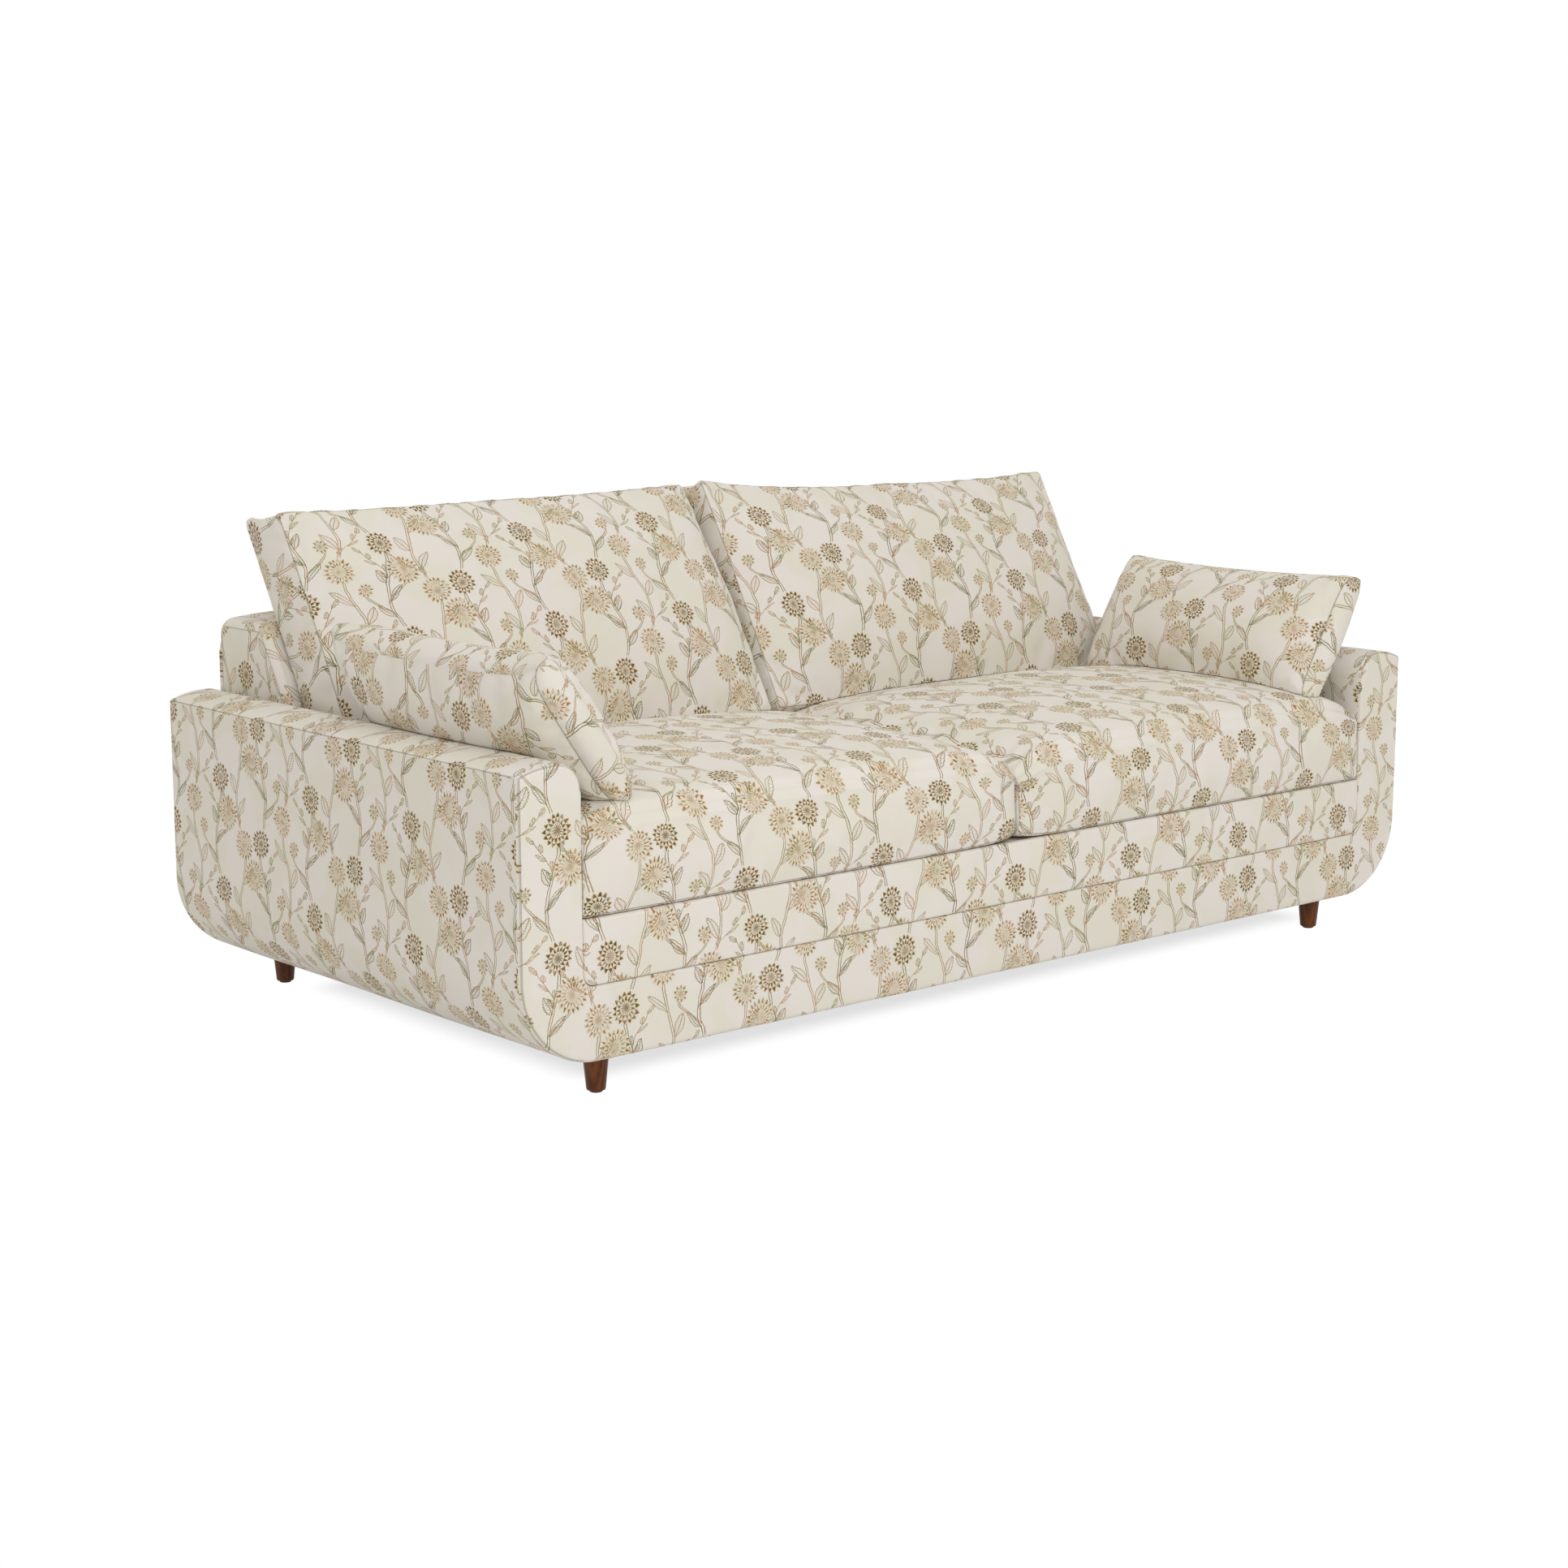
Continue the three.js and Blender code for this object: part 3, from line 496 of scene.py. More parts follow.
def print_inks(uv):
    """Cover of the inks: olive lines, rose lines, light flowers, dark flowers, and the flowers'
    discs. The place on the cloth is bent by noise up to 5 mm, so no two flowers are alike."""
    drift = scaled(cloth_noise(uv, 24.0, detail=4.0, out=1), 11.0, (-5.5, -5.5, 0.0))
    u, v, _ = scaled(uv, 1000.0, drift).parts()

    x, y = sprig_place(u, v, 0.0, 0.0, DROP / 2)
    main, slope = winding(y, -12.0)
    lines = stem(x, y, main, slope, -100.0, 52.0, 2.4)
    lines = lines.most(leaves(x, y, main, 36.0, -86.0, 22.0, 19.0, 5.8, 50))
    lines = lines.most(branch(x, y, main, -52.0, -8.0, -36.0, 4.9, 2.0))
    rose = spray(x, y, main, -2.0, 66.0, 46.0, 15.0, -2.0, 73.0, 8.0, 2.8)
    rose = rose.most(branch(x, y, main, -78.0, -32.0, 44.0, 5.7, 1.6))
    bud, bud_disc = bloom(x - 52.0, y + 20.0, 14.0, 9.0, 2.0, 0.3)
    light, light_disc = bloom(x + 34.0, y - 14.0, 31.0, 19.0, 3.0, 0.27)
    dark, dark_disc = bloom(x + 10.0, y - 76.0, 27.0, 15.0, 3.0, 0.4)
    bare = 1.0 - light_disc.most(dark_disc)
    lines = lines * bare
    rose = rose.most(bud) * bare

    x, y = sprig_place(u, v, COLUMN / 2, DROP / 20, DROP * 3 / 4)
    main, slope = winding(y, 11.0)
    low = stem(x, y, main, slope, -101.0, 58.0, 2.0)
    low = low.most(leaves(x, y, main, 42.0, -84.0, 42.0, 22.0, 6.6, 52))
    low = low.most(spray(x, y, main, -96.0, -44.0, -42.0, 14.0, -92.0, -36.0, 7.6, 2.7))
    flower, flower_disc = bloom(x - 10.0, y - 76.0, 28.0, 17.0, 3.0, 0.29)
    rose = rose.most(low * (1.0 - flower_disc))
    disc = light_disc.most(flower_disc).most(dark_disc).most(bud_disc)
    return lines, rose, light.most(flower), dark, disc


def printed_linen(name):
    """Cream linen with a print in thin olive, rose and brown inks. Threads 0.9 mm apart show as a
    product of two waves; cloth draws in within 3 mm of a seam and puckers within 30 mm of it,
    and within 1.8 mm of a seam it is darkened brown as painted shade for the seam's groove."""
    material, place = new_finish(
        name, Sheen_Weight=0.12, Sheen_Roughness=0.5, Specular_IOR_Level=0.25
    )
    uv = place.node("ShaderNodeUVMap")
    lines, rose, light, dark, disc = print_inks(uv)
    patch = cloth_noise(uv, 9.0).rise(0.4, 0.6)
    cloth = patch.over(colour(228, 222, 216), colour(224, 220, 208))
    cloth = (disc * 0.34).over(cloth, colour(206, 187, 144))
    tone = cloth_noise(uv, 30.0)
    warm = tone.rise(0.42, 0.58)
    worn = cloth_noise(uv, 75.0, detail=2.0).fade(0.36, 0.6, 0.35, 1.0)
    inks = (
        (lines * 0.95, colour(106, 102, 38), colour(146, 112, 58)),
        (rose * 0.9, colour(134, 124, 54), colour(170, 128, 80)),
        (light * worn, colour(136, 108, 26), colour(164, 118, 62)),
        (dark * worn.fade(0.2, 0.8, 0.6, 1.0), colour(104, 80, 2), colour(126, 90, 6)),
    )
    for cover, green, brown in inks:
        cloth = cover.over(cloth, warm.over(green, brown))
    seam = place.node("ShaderNodeAttribute", {"attribute_name": "seam"}, out=2)
    # Painted shade in the seams: this mask darkens the cloth towards brown within 1.8 mm of a seam,
    # for the shadow in its groove, and also sinks the bump there.
    groove_and_painted_shade = seam.fade(0.2, 1.8)
    cloth = (groove_and_painted_shade * 0.3).over(cloth, colour(112, 88, 60))
    weft, warp, _ = uv.parts()
    thread_rate = 6981.0  # radians to the metre
    threads = (weft * thread_rate).math("SINE") * (warp * thread_rate).math("SINE")
    puckers = cloth_noise(uv, 55.0, detail=2.0) * seam.fade(3.0, 34.0, 0.75, 0.12)
    relief = threads * 0.035 + puckers - groove_and_painted_shade * 0.9
    return finished(material, cloth, tone.fade(0.3, 0.7, 0.82, 0.92), relief, 0.003, 0.8)


linen = printed_linen("printed linen")


def upholstered(mesh, node, body="sofa_body"):
    """Fits a mesh as printed upholstery in the place of a node."""
    return fitted(mesh, body, linen, node)


front, rear = cad_bounds[0][1], cad_bounds[1][1]
half = cad_bounds[1][0]
arm_low, arm_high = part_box("arm_cover_right")
inner, arm_top = arm_low.x, arm_high.z
lower_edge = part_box("front_lower_cover")[0].z
band_low, band_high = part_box("front_band_cover")
band_bottom, deck = band_low.z, band_high.z
corner, inner_round, seam_height = 0.150, 0.045, arm_top - 0.015
corner_x, corner_z = half - corner, lower_edge + corner
edge_roll, gap = 0.009, 0.0003


def arc(middle, radius, first, last, count):
    """Points of a circle round a middle, from one angle to another in degrees."""
    turn = np.radians(np.linspace(first, last, count))
    return np.stack(
        [middle[0] + radius * np.cos(turn), middle[1] + radius * np.sin(turn)], axis=-1
    )


def straight(start, end, count):
    """Points from start to end, evenly spaced."""
    share = np.linspace(0.0, 1.0, count)[:, None]
    return np.array(start) * (1 - share) + np.array(end) * share


def bent(start, pull, end, count):
    """Points of a quadratic curve from start to end, drawn towards pull."""
    share = np.linspace(0.0, 1.0, count)[:, None]
    start, pull, end = (np.array(point) for point in (start, pull, end))
    return start * (1 - share) ** 2 + pull * 2 * share * (1 - share) + end * share**2


def joined(*runs):
    """Runs of points one after the other, without the repeated ends."""
    return np.concatenate([runs[0]] + [run[1:] for run in runs[1:]])


def run_along(path):
    """How far along a path each of its points lies."""
    return np.concatenate([[0.0], np.cumsum(np.linalg.norm(np.diff(path, axis=0), axis=1))])


def inward(path):
    """The normal of a closed path at each point, to its inside: the mean of its two sides'."""
    ahead = np.roll(path, -1, axis=0) - path
    behind = path - np.roll(path, 1, axis=0)
    ahead /= np.linalg.norm(ahead, axis=1, keepdims=True)
    behind /= np.linalg.norm(behind, axis=1, keepdims=True)
    mean = ahead + behind
    mean /= np.linalg.norm(mean, axis=1, keepdims=True)
    return np.stack([-mean[:, 1], mean[:, 0]], axis=-1)


def crown_path(count):
    """The arm's padded top from its outer seam: a quadratic curve to the crown, then a quarter
    circle."""
    round_x, round_z = inner + inner_round, arm_top - inner_round
    crown = bent((half, seam_height), (half - 0.030, arm_top), (round_x, arm_top), count)
    return joined(crown, arc((round_x, round_z), inner_round, 90, 180, 16))


seam_place = np.array([half, seam_height])
near_seam = seam_place - np.outer([0.02, 0.012, 0.007, 0.004, 0.002, 0.001, 0.0], (0.0, 1.0))
inside_foot = corner_z - math.sqrt(corner**2 - (inner - corner_x) ** 2)
arm_path = joined(
    arc((corner_x, corner_z), corner, -math.degrees(math.acos((inner - corner_x) / corner)), 0, 34),
    straight((half, corner_z), near_seam[0], 22),
    near_seam,
    crown_path(30),
    straight((inner, arm_top - inner_round), (inner, inside_foot), 30),
)[:-1]
arm_run = run_along(arm_path)
from_seam = np.abs(arm_run - arm_run[np.argmin(np.linalg.norm(arm_path - seam_place, axis=1))])
# The seam is a groove 1.2 mm deep: a bell curve of the distance from it.
groove = 0.0012 * np.exp(-((from_seam / 0.0016) ** 2))[:, None]
grooved = arm_path + inward(arm_path) * groove
# The box runs straight back to its rolled rear edge, a quarter circle, and both ends close in
# rings that shrink to a point inside the arm.
roll = np.radians([12, 24, 36, 48, 60, 72, 82, 90])
depths = [front + edge_roll, front + 0.0105, front + 0.013]
depths += [*np.linspace(front + 0.03, rear - 0.025, 64), rear - 0.0125, rear - edge_roll]
insets = np.concatenate([np.zeros(len(depths)), edge_roll * (1 - np.cos(roll))])
depths = np.concatenate([depths, rear - edge_roll * (1 - np.sin(roll))])
rings = grooved + inward(grooved) * insets[:, None, None]
arm_middle = np.array([1.029, 0.310])
shrink = np.array([0.0, 0.3, 0.6, 0.9])[:, None, None]
front_cap = arm_middle + (rings[0] - arm_middle) * shrink
rear_cap = arm_middle + (rings[-1] - arm_middle) * shrink[::-1]
deep = np.pad(depths, len(shrink), mode="edge")[:, None]
# The padding is uneven by 0.6 mm, as a product of two waves.
uneven = 0.0006 * np.sin(deep * 11 + arm_run * 9) * np.sin(arm_run * 14 + 1)
uneven *= (deep > front + 0.02) & (deep < rear - 0.02)
section = np.concatenate([front_cap, rings, rear_cap]) + inward(arm_path) * uneven[..., None]
section = np.concatenate([section, section[:, :1]], axis=1)
run = np.append(arm_run, arm_run[-1] + 0.001) + 0 * deep
deep = deep + 0 * run
away = np.minimum(np.append(from_seam, from_seam[0]), rear - deep) * 1000
rear_end = slice(-1 - len(shrink), None)
arms = {}
for side, sign in sides.items():
    points = np.stack([sign * section[..., 0], deep, section[..., 1]], axis=-1)
    flat = np.stack([sign * deep, run], axis=-1) + (0.31 * sign, 0.07)
    flat[rear_end] = section[rear_end] + (0.5, 0.2)
    mesh = sewn_mesh(f"arm_{side}_covering", [(points, flat, away)])
    arms[side] = upholstered(mesh, f"arm_cover_{side}")

# Front. One cloth covers both arm fronts and the lower band without a break, stapled under the
# body. Its outer edge and the arm's front top are seamed; the inner edge rolls in beside the band.


def distance_to(points, line):
    """Each point's distance from a line of short straight runs."""
    first, last = line[:-1], line[1:]
    run = last - first
    across = points[..., None, :] - first
    share = np.clip((across * run).sum(-1) / np.maximum((run * run).sum(-1), 1e-12), 0.0, 1.0)
    return np.linalg.norm(across - share[..., None] * run, axis=-1).min(-1)


def rolled(distance, radius):
    """How far back a rolled edge lies: a quarter circle within radius of the edge."""
    near_edge = np.clip(radius - distance, 0.0, radius)
    return radius - np.sqrt(radius**2 - near_edge**2)


def bunched(width, near_first, near_last, count):
    """Shares of a width, with extra lines at the given distances from each end."""
    low, high = np.array(near_first) / width, 1 - np.array(near_last[::-1]) / width
    return np.concatenate([low, np.linspace(low[-1], high[0], count)[1:-1], high])


small_steps = [0.0, 0.0004, 0.0010, 0.0017, 0.0026, 0.0036, 0.0048, 0.0062, 0.0080, 0.0105, 0.014]
across_arm = bunched(half - inner, small_steps, small_steps, 10)
band_round, band_end = 0.022, inner - gap
leg_top = 0.46  # up to here the panel's lines run level across the arm
seam_in = 0.0026
outer_side = joined(
    straight((0.0, lower_edge), (corner_x, lower_edge), 48),
    arc((corner_x, corner_z), corner, -90, 0, 30),
    straight((half, corner_z), (half, leg_top), 18),
)
inner_side = joined(
    straight((0.0, band_bottom), (band_end - band_round, band_bottom), 48),
    arc((band_end - band_round, band_bottom + band_round), band_round + gap, -90, 0, 30),
    straight((inner, band_bottom + band_round), (inner, leg_top), 18),
)
share = across_arm[:, None]
leg = outer_side[:, None] * (1 - share) + inner_side[:, None] * share
crown = crown_path(60)
crown_run = run_along(crown)
crown_places = across_arm * crown_run[-1]
top_line = np.stack([np.interp(crown_places, crown_run, line) for line in crown.T], axis=-1)
up = bunched(0.085, [0.0, 0.01], small_steps, 7)[1:, None, None]
half_panel = np.concatenate([leg, leg[-1] * (1 - up) + top_line * up])
x, z = np.moveaxis(half_panel, -1, 0)
outer_line = joined(outer_side, straight((half, leg_top), (half, seam_height), 6), crown)
inner_top = straight((inner, leg_top), (inner, arm_top - inner_round), 6)
from_outer = distance_to(half_panel, outer_line)
from_inner = distance_to(half_panel, joined(inner_side, inner_top))
# The seam's groove is 1.1 mm deep. It ends where the cloth turns under the body.
groove = 0.0011 * np.exp(-(((from_outer - seam_in) / 0.0011) ** 2))
groove *= np.clip((x - 0.93) / 0.04, 0, 1)
deep = np.maximum(rolled(from_outer, edge_roll), rolled(from_inner, 0.005)) + groove
deep += 0.0005 * np.sin(x * 21) * np.sin(z * 17 + 1)
away = np.abs(from_outer - seam_in) * 1000 + np.clip(0.97 - x, 0, 1) * 400


def returns(edge, inside, outlays):
    """Lines that go back behind an edge: each is drawn 0.4 mm in and lies deeper by an outlay."""
    toward = (inside - edge) * (1, 1, 0)
    toward /= np.maximum(np.linalg.norm(toward, axis=-1, keepdims=True), 1e-6)
    return [edge + toward * 0.0004 + np.multiply.outer(outlay, (0, 0, 1)) for outlay in outlays]


# The panel is a grid of (x, z, depth) from outer to inner edge. Its last rows go over the arm.
panel = np.stack([x, z, deep], axis=-1)
turned_under = np.where(x[:, 0] < inner - 0.0005, 0.091, 0.014)
outer_lines = returns(panel[:, 0], panel[:, 6], (turned_under, 0.3 * turned_under))
inner_lines = returns(panel[:, -1], panel[:, -7], (0.005, 0.016))
panel = np.stack([*outer_lines, *panel.transpose(1, 0, 2), *inner_lines], axis=1)
panel = np.stack([*panel, *returns(panel[-1], panel[-7], (0.005, 0.014))])
away = np.pad(away, ((0, 2), (2, 2)), mode="edge")
x, z, deep = np.moveaxis(np.concatenate([panel[:0:-1] * (-1, 1, 1), panel]), -1, 0)
points = np.stack([x, front + deep, z], axis=-1)
flat = np.stack([x, z - np.clip(deep - edge_roll, 0, 1)], axis=-1) + (0.04, 0.03)
away = np.concatenate([away[:0:-1], away])
mesh = sewn_mesh("front_covering", [(points, flat, away)], outward=(0, -1, 0))


def settle(piece):
    """Applies a piece's modifiers to its mesh."""
    bpy.context.view_layer.update()
    evaluated = piece.evaluated_get(bpy.context.evaluated_depsgraph_get())
    done = bpy.data.meshes.new_from_object(evaluated)
    piece.modifiers.clear()
    old = piece.data
    piece.data = done
    bpy.data.meshes.remove(old)
    done.name = piece.name
    return piece


def lined(piece, thickness):
    """Gives a sheet its wadding: a wall of even thickness on its inner side."""
    wall = piece.modifiers.new("wadding", "SOLIDIFY")
    wall.thickness, wall.offset = thickness, -1.0
    return settle(piece)


wadding = 0.0015
lined(upholstered(mesh, "front_lower_cover"), wadding)

# Upper front band. A padded strip over the front rail, under the seat cushions. Its lower corners
# are round, its edges roll in beside the lower front, and its top runs back over the deck's edge.


def bordered(points, before, after, axis):
    """A grid with more lines before its first and after its last: that line moved by each step."""
    first, last = points.take([0], axis), points.take([-1], axis)
    lines = [first + step for step in before] + [points] + [last + step for step in after]
    return np.concatenate(lines, axis)


edge_steps = [0.0, 0.0005, 0.0012, 0.0022, 0.0034, 0.005, 0.008]
side_steps = edge_steps + [0.014, 0.022]
x = -band_end + 2 * band_end * bunched(2 * band_end, side_steps, side_steps, 100)
past_round = np.clip(np.abs(x) - (band_end - band_round), 0.0, band_round)
low = band_bottom + band_round - np.sqrt(band_round**2 - past_round**2) + gap
up = bunched(deck - band_bottom, edge_steps, edge_steps + [0.012], 10)[:, None]
band_rim = np.array([(x[0], deck), *zip(x, low), (x[-1], deck)])
z = low * (1 - up) + deck * up
x = x + 0 * z
from_edge, from_top = distance_to(np.stack([x, z], axis=-1), band_rim), deck - z
bulge = 0.0016 * np.clip(from_edge / 0.03, 0, 1) * np.clip(from_top / 0.03, 0, 1)
deep = np.maximum(rolled(from_edge, 0.005), rolled(from_top, 0.006)) - bulge
deep += 0.0005 * np.sin(x * 25 + 2) * np.clip(from_edge / 0.02, 0, 1)
points = np.stack([x, front + deep, z], axis=-1)
band_rear = front + 0.0145
top_rows = [points[-1:] * (1, 0, 1) + (0, y, 0) for y in (front + 0.011, band_rear)]
points = bordered(points, [(0, 0.018, 0.0002), (0, 0.006, 0.0002)], [], axis=0)
points = np.concatenate([points, *top_rows])
at_left = [(0.0002, back, 0) for back in (0.018, 0.006)]
at_right = [(-0.0002, back, 0) for back in (0.006, 0.018)]
points = bordered(points, at_left, at_right, axis=1)
points[..., 1] = np.minimum(points[..., 1], band_rear)
flat = np.stack([points[..., 0], points[..., 2] - points[..., 1]], axis=-1) + (0.55, 0.11)
mesh = sewn_mesh("upper_band_covering", [(points, flat, no_seam)], outward=(0, -1, 0))
lined(upholstered(mesh, "front_band_cover"), wadding)

# Back. Plywood ribs and a top rail are padded and covered over their front, top and ends, and the
# cloth is stapled down at the rear. The back leans, and its rolled ends stand over the arms.
back_low, back_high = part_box("inside_back_cover")
lean = math.radians(29.5)
foot_y, knee_z = back_low.y, deck + 0.171
end_half = back_high.x
seat_rear = foot_y - gap
top_round = 0.034


def back_section(inset):
    """Front to rear, seen from the end: upright, then leaning to a small round nose, level over
    the top, round at the rear and straight down. The whole is drawn in by inset."""
    top, far, face = back_high.z - inset, rear - 0.001 - inset, foot_y + inset
    shift = inset / math.cos(lean)
    knee = knee_z + (inset - shift) / math.tan(lean)
    nose, rear_round = max(0.020 - inset, 0.002), top_round - inset
    nose_y = foot_y + (top - knee_z) * math.tan(lean) + shift
    before = (nose_y - nose * math.sin(lean), top - nose * math.cos(lean))
    return joined(
        straight((far, back_low.z), (face, back_low.z), 8),
        straight((face, back_low.z), (face, knee), 12),
        straight((face, knee), before, 20),
        bent(before, (nose_y, top), (nose_y + nose, top), 9),
        straight((nose_y + nose, top), (far - rear_round, top), 12),
        arc((far - rear_round, top - rear_round), rear_round, 90, 0, 10),
        straight((far, top - rear_round), (far, back_low.z), 24),
    )[:-1]


def back_reach(z):
    """How far the back's end lies from the middle: between the arms below, then close along the
    arm's round inner edge, and out over the arm above it."""
    over = np.clip(z - (arm_top - inner_round), 0.0, inner_round)
    hug = inner + inner_round - np.sqrt(inner_round**2 - over**2) - 0.0006
    return np.minimum(hug, end_half) - 0.0003


# Sections stand side by side from end to end. At a round end they run from the narrowest one, at
# the face, to the full one: each turn draws a section in by its cosine and puts it out by its sine.
end_round = 0.016
turns = np.radians([90, 82, 70, 58, 46, 34, 22, 10, 0])
insets, outs = end_round * (1 - np.cos(turns)), end_round * np.sin(turns)
insets = np.concatenate([insets, np.zeros(97), insets[::-1]])
outs = np.concatenate([-outs, np.zeros(97), outs[::-1]])[:, None]
order = np.pad(np.linspace(-1, 1, 97), len(turns), mode="edge")[:, None]
deep, z = np.moveaxis(np.stack([back_section(inset) for inset in insets]), -1, 0)
x = order * (back_reach(z) - end_round) + outs
sag = 0.008 * np.clip((z - 0.6) / 0.09, 0, 1) * np.clip((np.abs(x) - 0.86) / 0.12, 0, 1) ** 2
uneven = 0.0008 * np.sin(x * 9) * np.clip((z - 0.5) / 0.1, 0, 1)
points = np.stack([x, deep, z - sag + uneven], axis=-1)
points = np.concatenate([points, points[:, :1]], axis=1)
caps = []
shrink = np.array([0.92, 0.75, 0.5, 0.25, 0.0])[:, None, None]
for ring in (points[0], points[-1]):
    middle = np.array([ring[:, 0].mean(), 0.43, 0.45])
    caps.append(middle * (1 - shrink) + ring * shrink)
points = np.concatenate([caps[0][::-1], points, caps[1]])
x, deep, z = np.moveaxis(points, -1, 0)
flat = np.stack([x, run_along(points[60]) + 0 * x], axis=-1) + (0.2, 0.33)
flat[:6] = points[:6, :, 1:] + (0.7, 0.1)
flat[-6:] = points[-6:, :, 1:] * (-1, 1) + (0.9, 0.1)
# Above the arms the ends are seamed to the face, 12 mm in.
away = np.abs(np.abs(x) - (np.abs(x).max() - 0.012)) * 1000
mesh = sewn_mesh("back_covering", [(points, flat, np.where(z > arm_top, away, no_seam))])
upholstered(mesh, "inside_back_cover")

# Outside back. A flat padded panel fills the rear between the arms. Its top and sides are closed
# with hidden stitches, and its foot is turned under the body and stapled.
steps_in = [0.0, 0.0006, 0.0014, 0.0025, 0.004, 0.006, 0.009]
tall = back_high.z - top_round - lower_edge
z = lower_edge + tall * bunched(tall, steps_in, steps_in, 40)[:, None]
past = np.clip(corner_z - z, 0.0, corner)
below = np.minimum(inner - gap, corner_x + np.sqrt(corner**2 - past**2))
reach = np.where(z < corner_z, below, back_reach(z))
above = end_half - 0.010 * np.clip((z - 0.615) / 0.04, 0, 1) ** 2
reach = np.minimum(reach, np.where(z > 0.6, above, 1.0))
steps_across = [step / 0.97 for step in steps_in]
x = reach * (bunched(2.0, steps_across, steps_across, 70) * 2 - 1)
z = z + 0 * x
panel = np.stack([x, z], axis=-1)
rim = np.concatenate([panel[0], panel[:, -1], panel[-1][::-1], panel[::-1, 0]])
from_rim = distance_to(panel, rim)
uneven = 0.0008 * np.sin(x * 8) * np.sin(z * 9) * np.clip(from_rim / 0.05, 0, 1)
points = np.stack([x, rear - rolled(from_rim, 0.006) - uneven, z], axis=-1)
under = [(0, -ahead, 0.0002) for ahead in (0.091, 0.045, 0.008)]
over = [(0, -ahead, -0.0002) for ahead in (0.006, 0.014)]
points = bordered(points, under, over, axis=0)
at_left = [(0.0003, -ahead, 0) for ahead in (0.014, 0.005)]
at_right = [(-0.0003, -ahead, 0) for ahead in (0.005, 0.014)]
points = bordered(points, at_left, at_right, axis=1)
x, y, z = np.moveaxis(points, -1, 0)
flat = np.stack([-x, z + (y - rear) * (z < 0.2)], axis=-1) + (0.9, 0.6)
mesh = sewn_mesh("outside_back_covering", [(points, flat, no_seam)], outward=(0, 1, 0))
lined(upholstered(mesh, "rear_cover"), wadding)

# Deck and dust sheet. Plain cream ticking over wadding covers the springs, under the loose
# cushions. Thin black cloth is stapled across the underside, and sags a little between staples.


def padded_slab(low, high, cuts, top_swell, round_edge):
    """Six grids of a box with round edges: a point is drawn to the box's core and set out from it
    by the edge radius. The top swells by 1 - a^4 times 1 - b^4."""
    low, high = np.array(low), np.array(high)
    half_size, middle = (high - low) / 2, (high + low) / 2
    patches = []
    for axis in range(3):
        first, second = [k for k in range(3) if k != axis]
        a, b = (np.sin(np.linspace(-1, 1, cuts[k] + 1) * np.pi / 2) for k in (first, second))
        for face in (-1.0, 1.0):
            share = np.zeros((len(a), len(b), 3))
            share[..., first], share[..., second], share[..., axis] = a[:, None], b, face
            point = share * half_size
            core = np.clip(point, round_edge - half_size, half_size - round_edge)
            out = point - core
            point = core + out / np.linalg.norm(out, axis=-1, keepdims=True) * round_edge
            swell = (1 - share[..., 0] ** 4) * (1 - share[..., 1] ** 4)
            point[..., 2] += top_swell * np.clip(share[..., 2], 0, 1) * swell
            point += middle
            patches.append((point, point[..., [first, second]], no_seam))
    return patches


def ticking(name):
    """Cream cotton ticking: a twill of slanting threads 1.4 mm apart, slubbed by long noise."""
    material, place = new_finish(name, Sheen_Weight=0.1, Specular_IOR_Level=0.25)
    x, y, _ = place.parts()
    twill = ((x + y) * 4488.0).math("SINE")
    slub = stretched(place, (420.0, 60.0, 60.0), detail=3.0)
    cream = slub.rise(0.3, 0.7).over(colour(232, 224, 206), colour(216, 206, 186))
    roughness, height = slub.fade(0.3, 0.7, 0.82, 0.92), twill * 0.2 + slub
    return finished(material, cream, roughness, height, 0.0006, 0.6)


low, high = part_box("seat_deck_cover")
deck_swell = 0.0015
slab = padded_slab(low, high - Vector((0, 0, deck_swell)), (60, 48, 3), deck_swell, 0.005)
mesh = sewn_mesh("sprung_deck_covering", slab)
fitted(mesh, "sofa_body", ticking("cream ticking"), "seat_deck_cover")


def dust_cloth(name):
    """Black spun cloth: fine matted fibres with pin dots pressed into it 1.2 mm apart."""
    material, place = new_finish(name, Specular_IOR_Level=0.2)
    fibres = stretched(place, (500.0, 380.0, 400.0), detail=4.0, rough=0.7)
    x, y, _ = place.parts()
    dots = (x * 2618.0).math("SINE") * (y * 2618.0).math("SINE")
    black = fibres.rise(0.3, 0.7).over(colour(24, 24, 25), colour(52, 52, 54))
    roughness, height = fibres.fade(0.3, 0.7, 0.85, 0.97), fibres - dots * 0.3
    return finished(material, black, roughness, height, 0.0004, 0.7)


low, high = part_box("dust_cover")
a, b = np.linspace(-1, 1, 121), np.linspace(-1, 1, 61)[:, None]
sag = 0.0045 * (1 - np.abs(a) ** 2.5) * (1 - b**2)
sag += 0.0012 * np.abs(np.sin(a * 26)) * np.abs(b) ** 14 * (1 - b**2) ** 0.25
flat = np.stack([a * high.x + 0 * b, b * high.y + 0 * a], axis=-1)
points = np.concatenate([flat, (high.z - 0.0008 - sag)[..., None]], axis=-1)
mesh = sewn_mesh("dust_sheet", [(points, flat, no_seam)], outward=(0, 0, -1))
dust_sheet = fitted(mesh, "sofa_body", dust_cloth("black dust cloth"), "dust_cover")
lined(dust_sheet, 0.0006)

# Seat cushions. Two loose cushions fill the width between the arms. Each is a foam core wrapped
# in down and wadding. Its cloth runs over the top and down the front in one waterfall, and the
# ends are separate panels, seamed all round.
LEFT_END, RIGHT_END, NEAR_SIDE, FAR_SIDE, UNDER, TOP = range(6)
held_room = 0.1  # millimetres from a seam within which a case is held
frames = 20


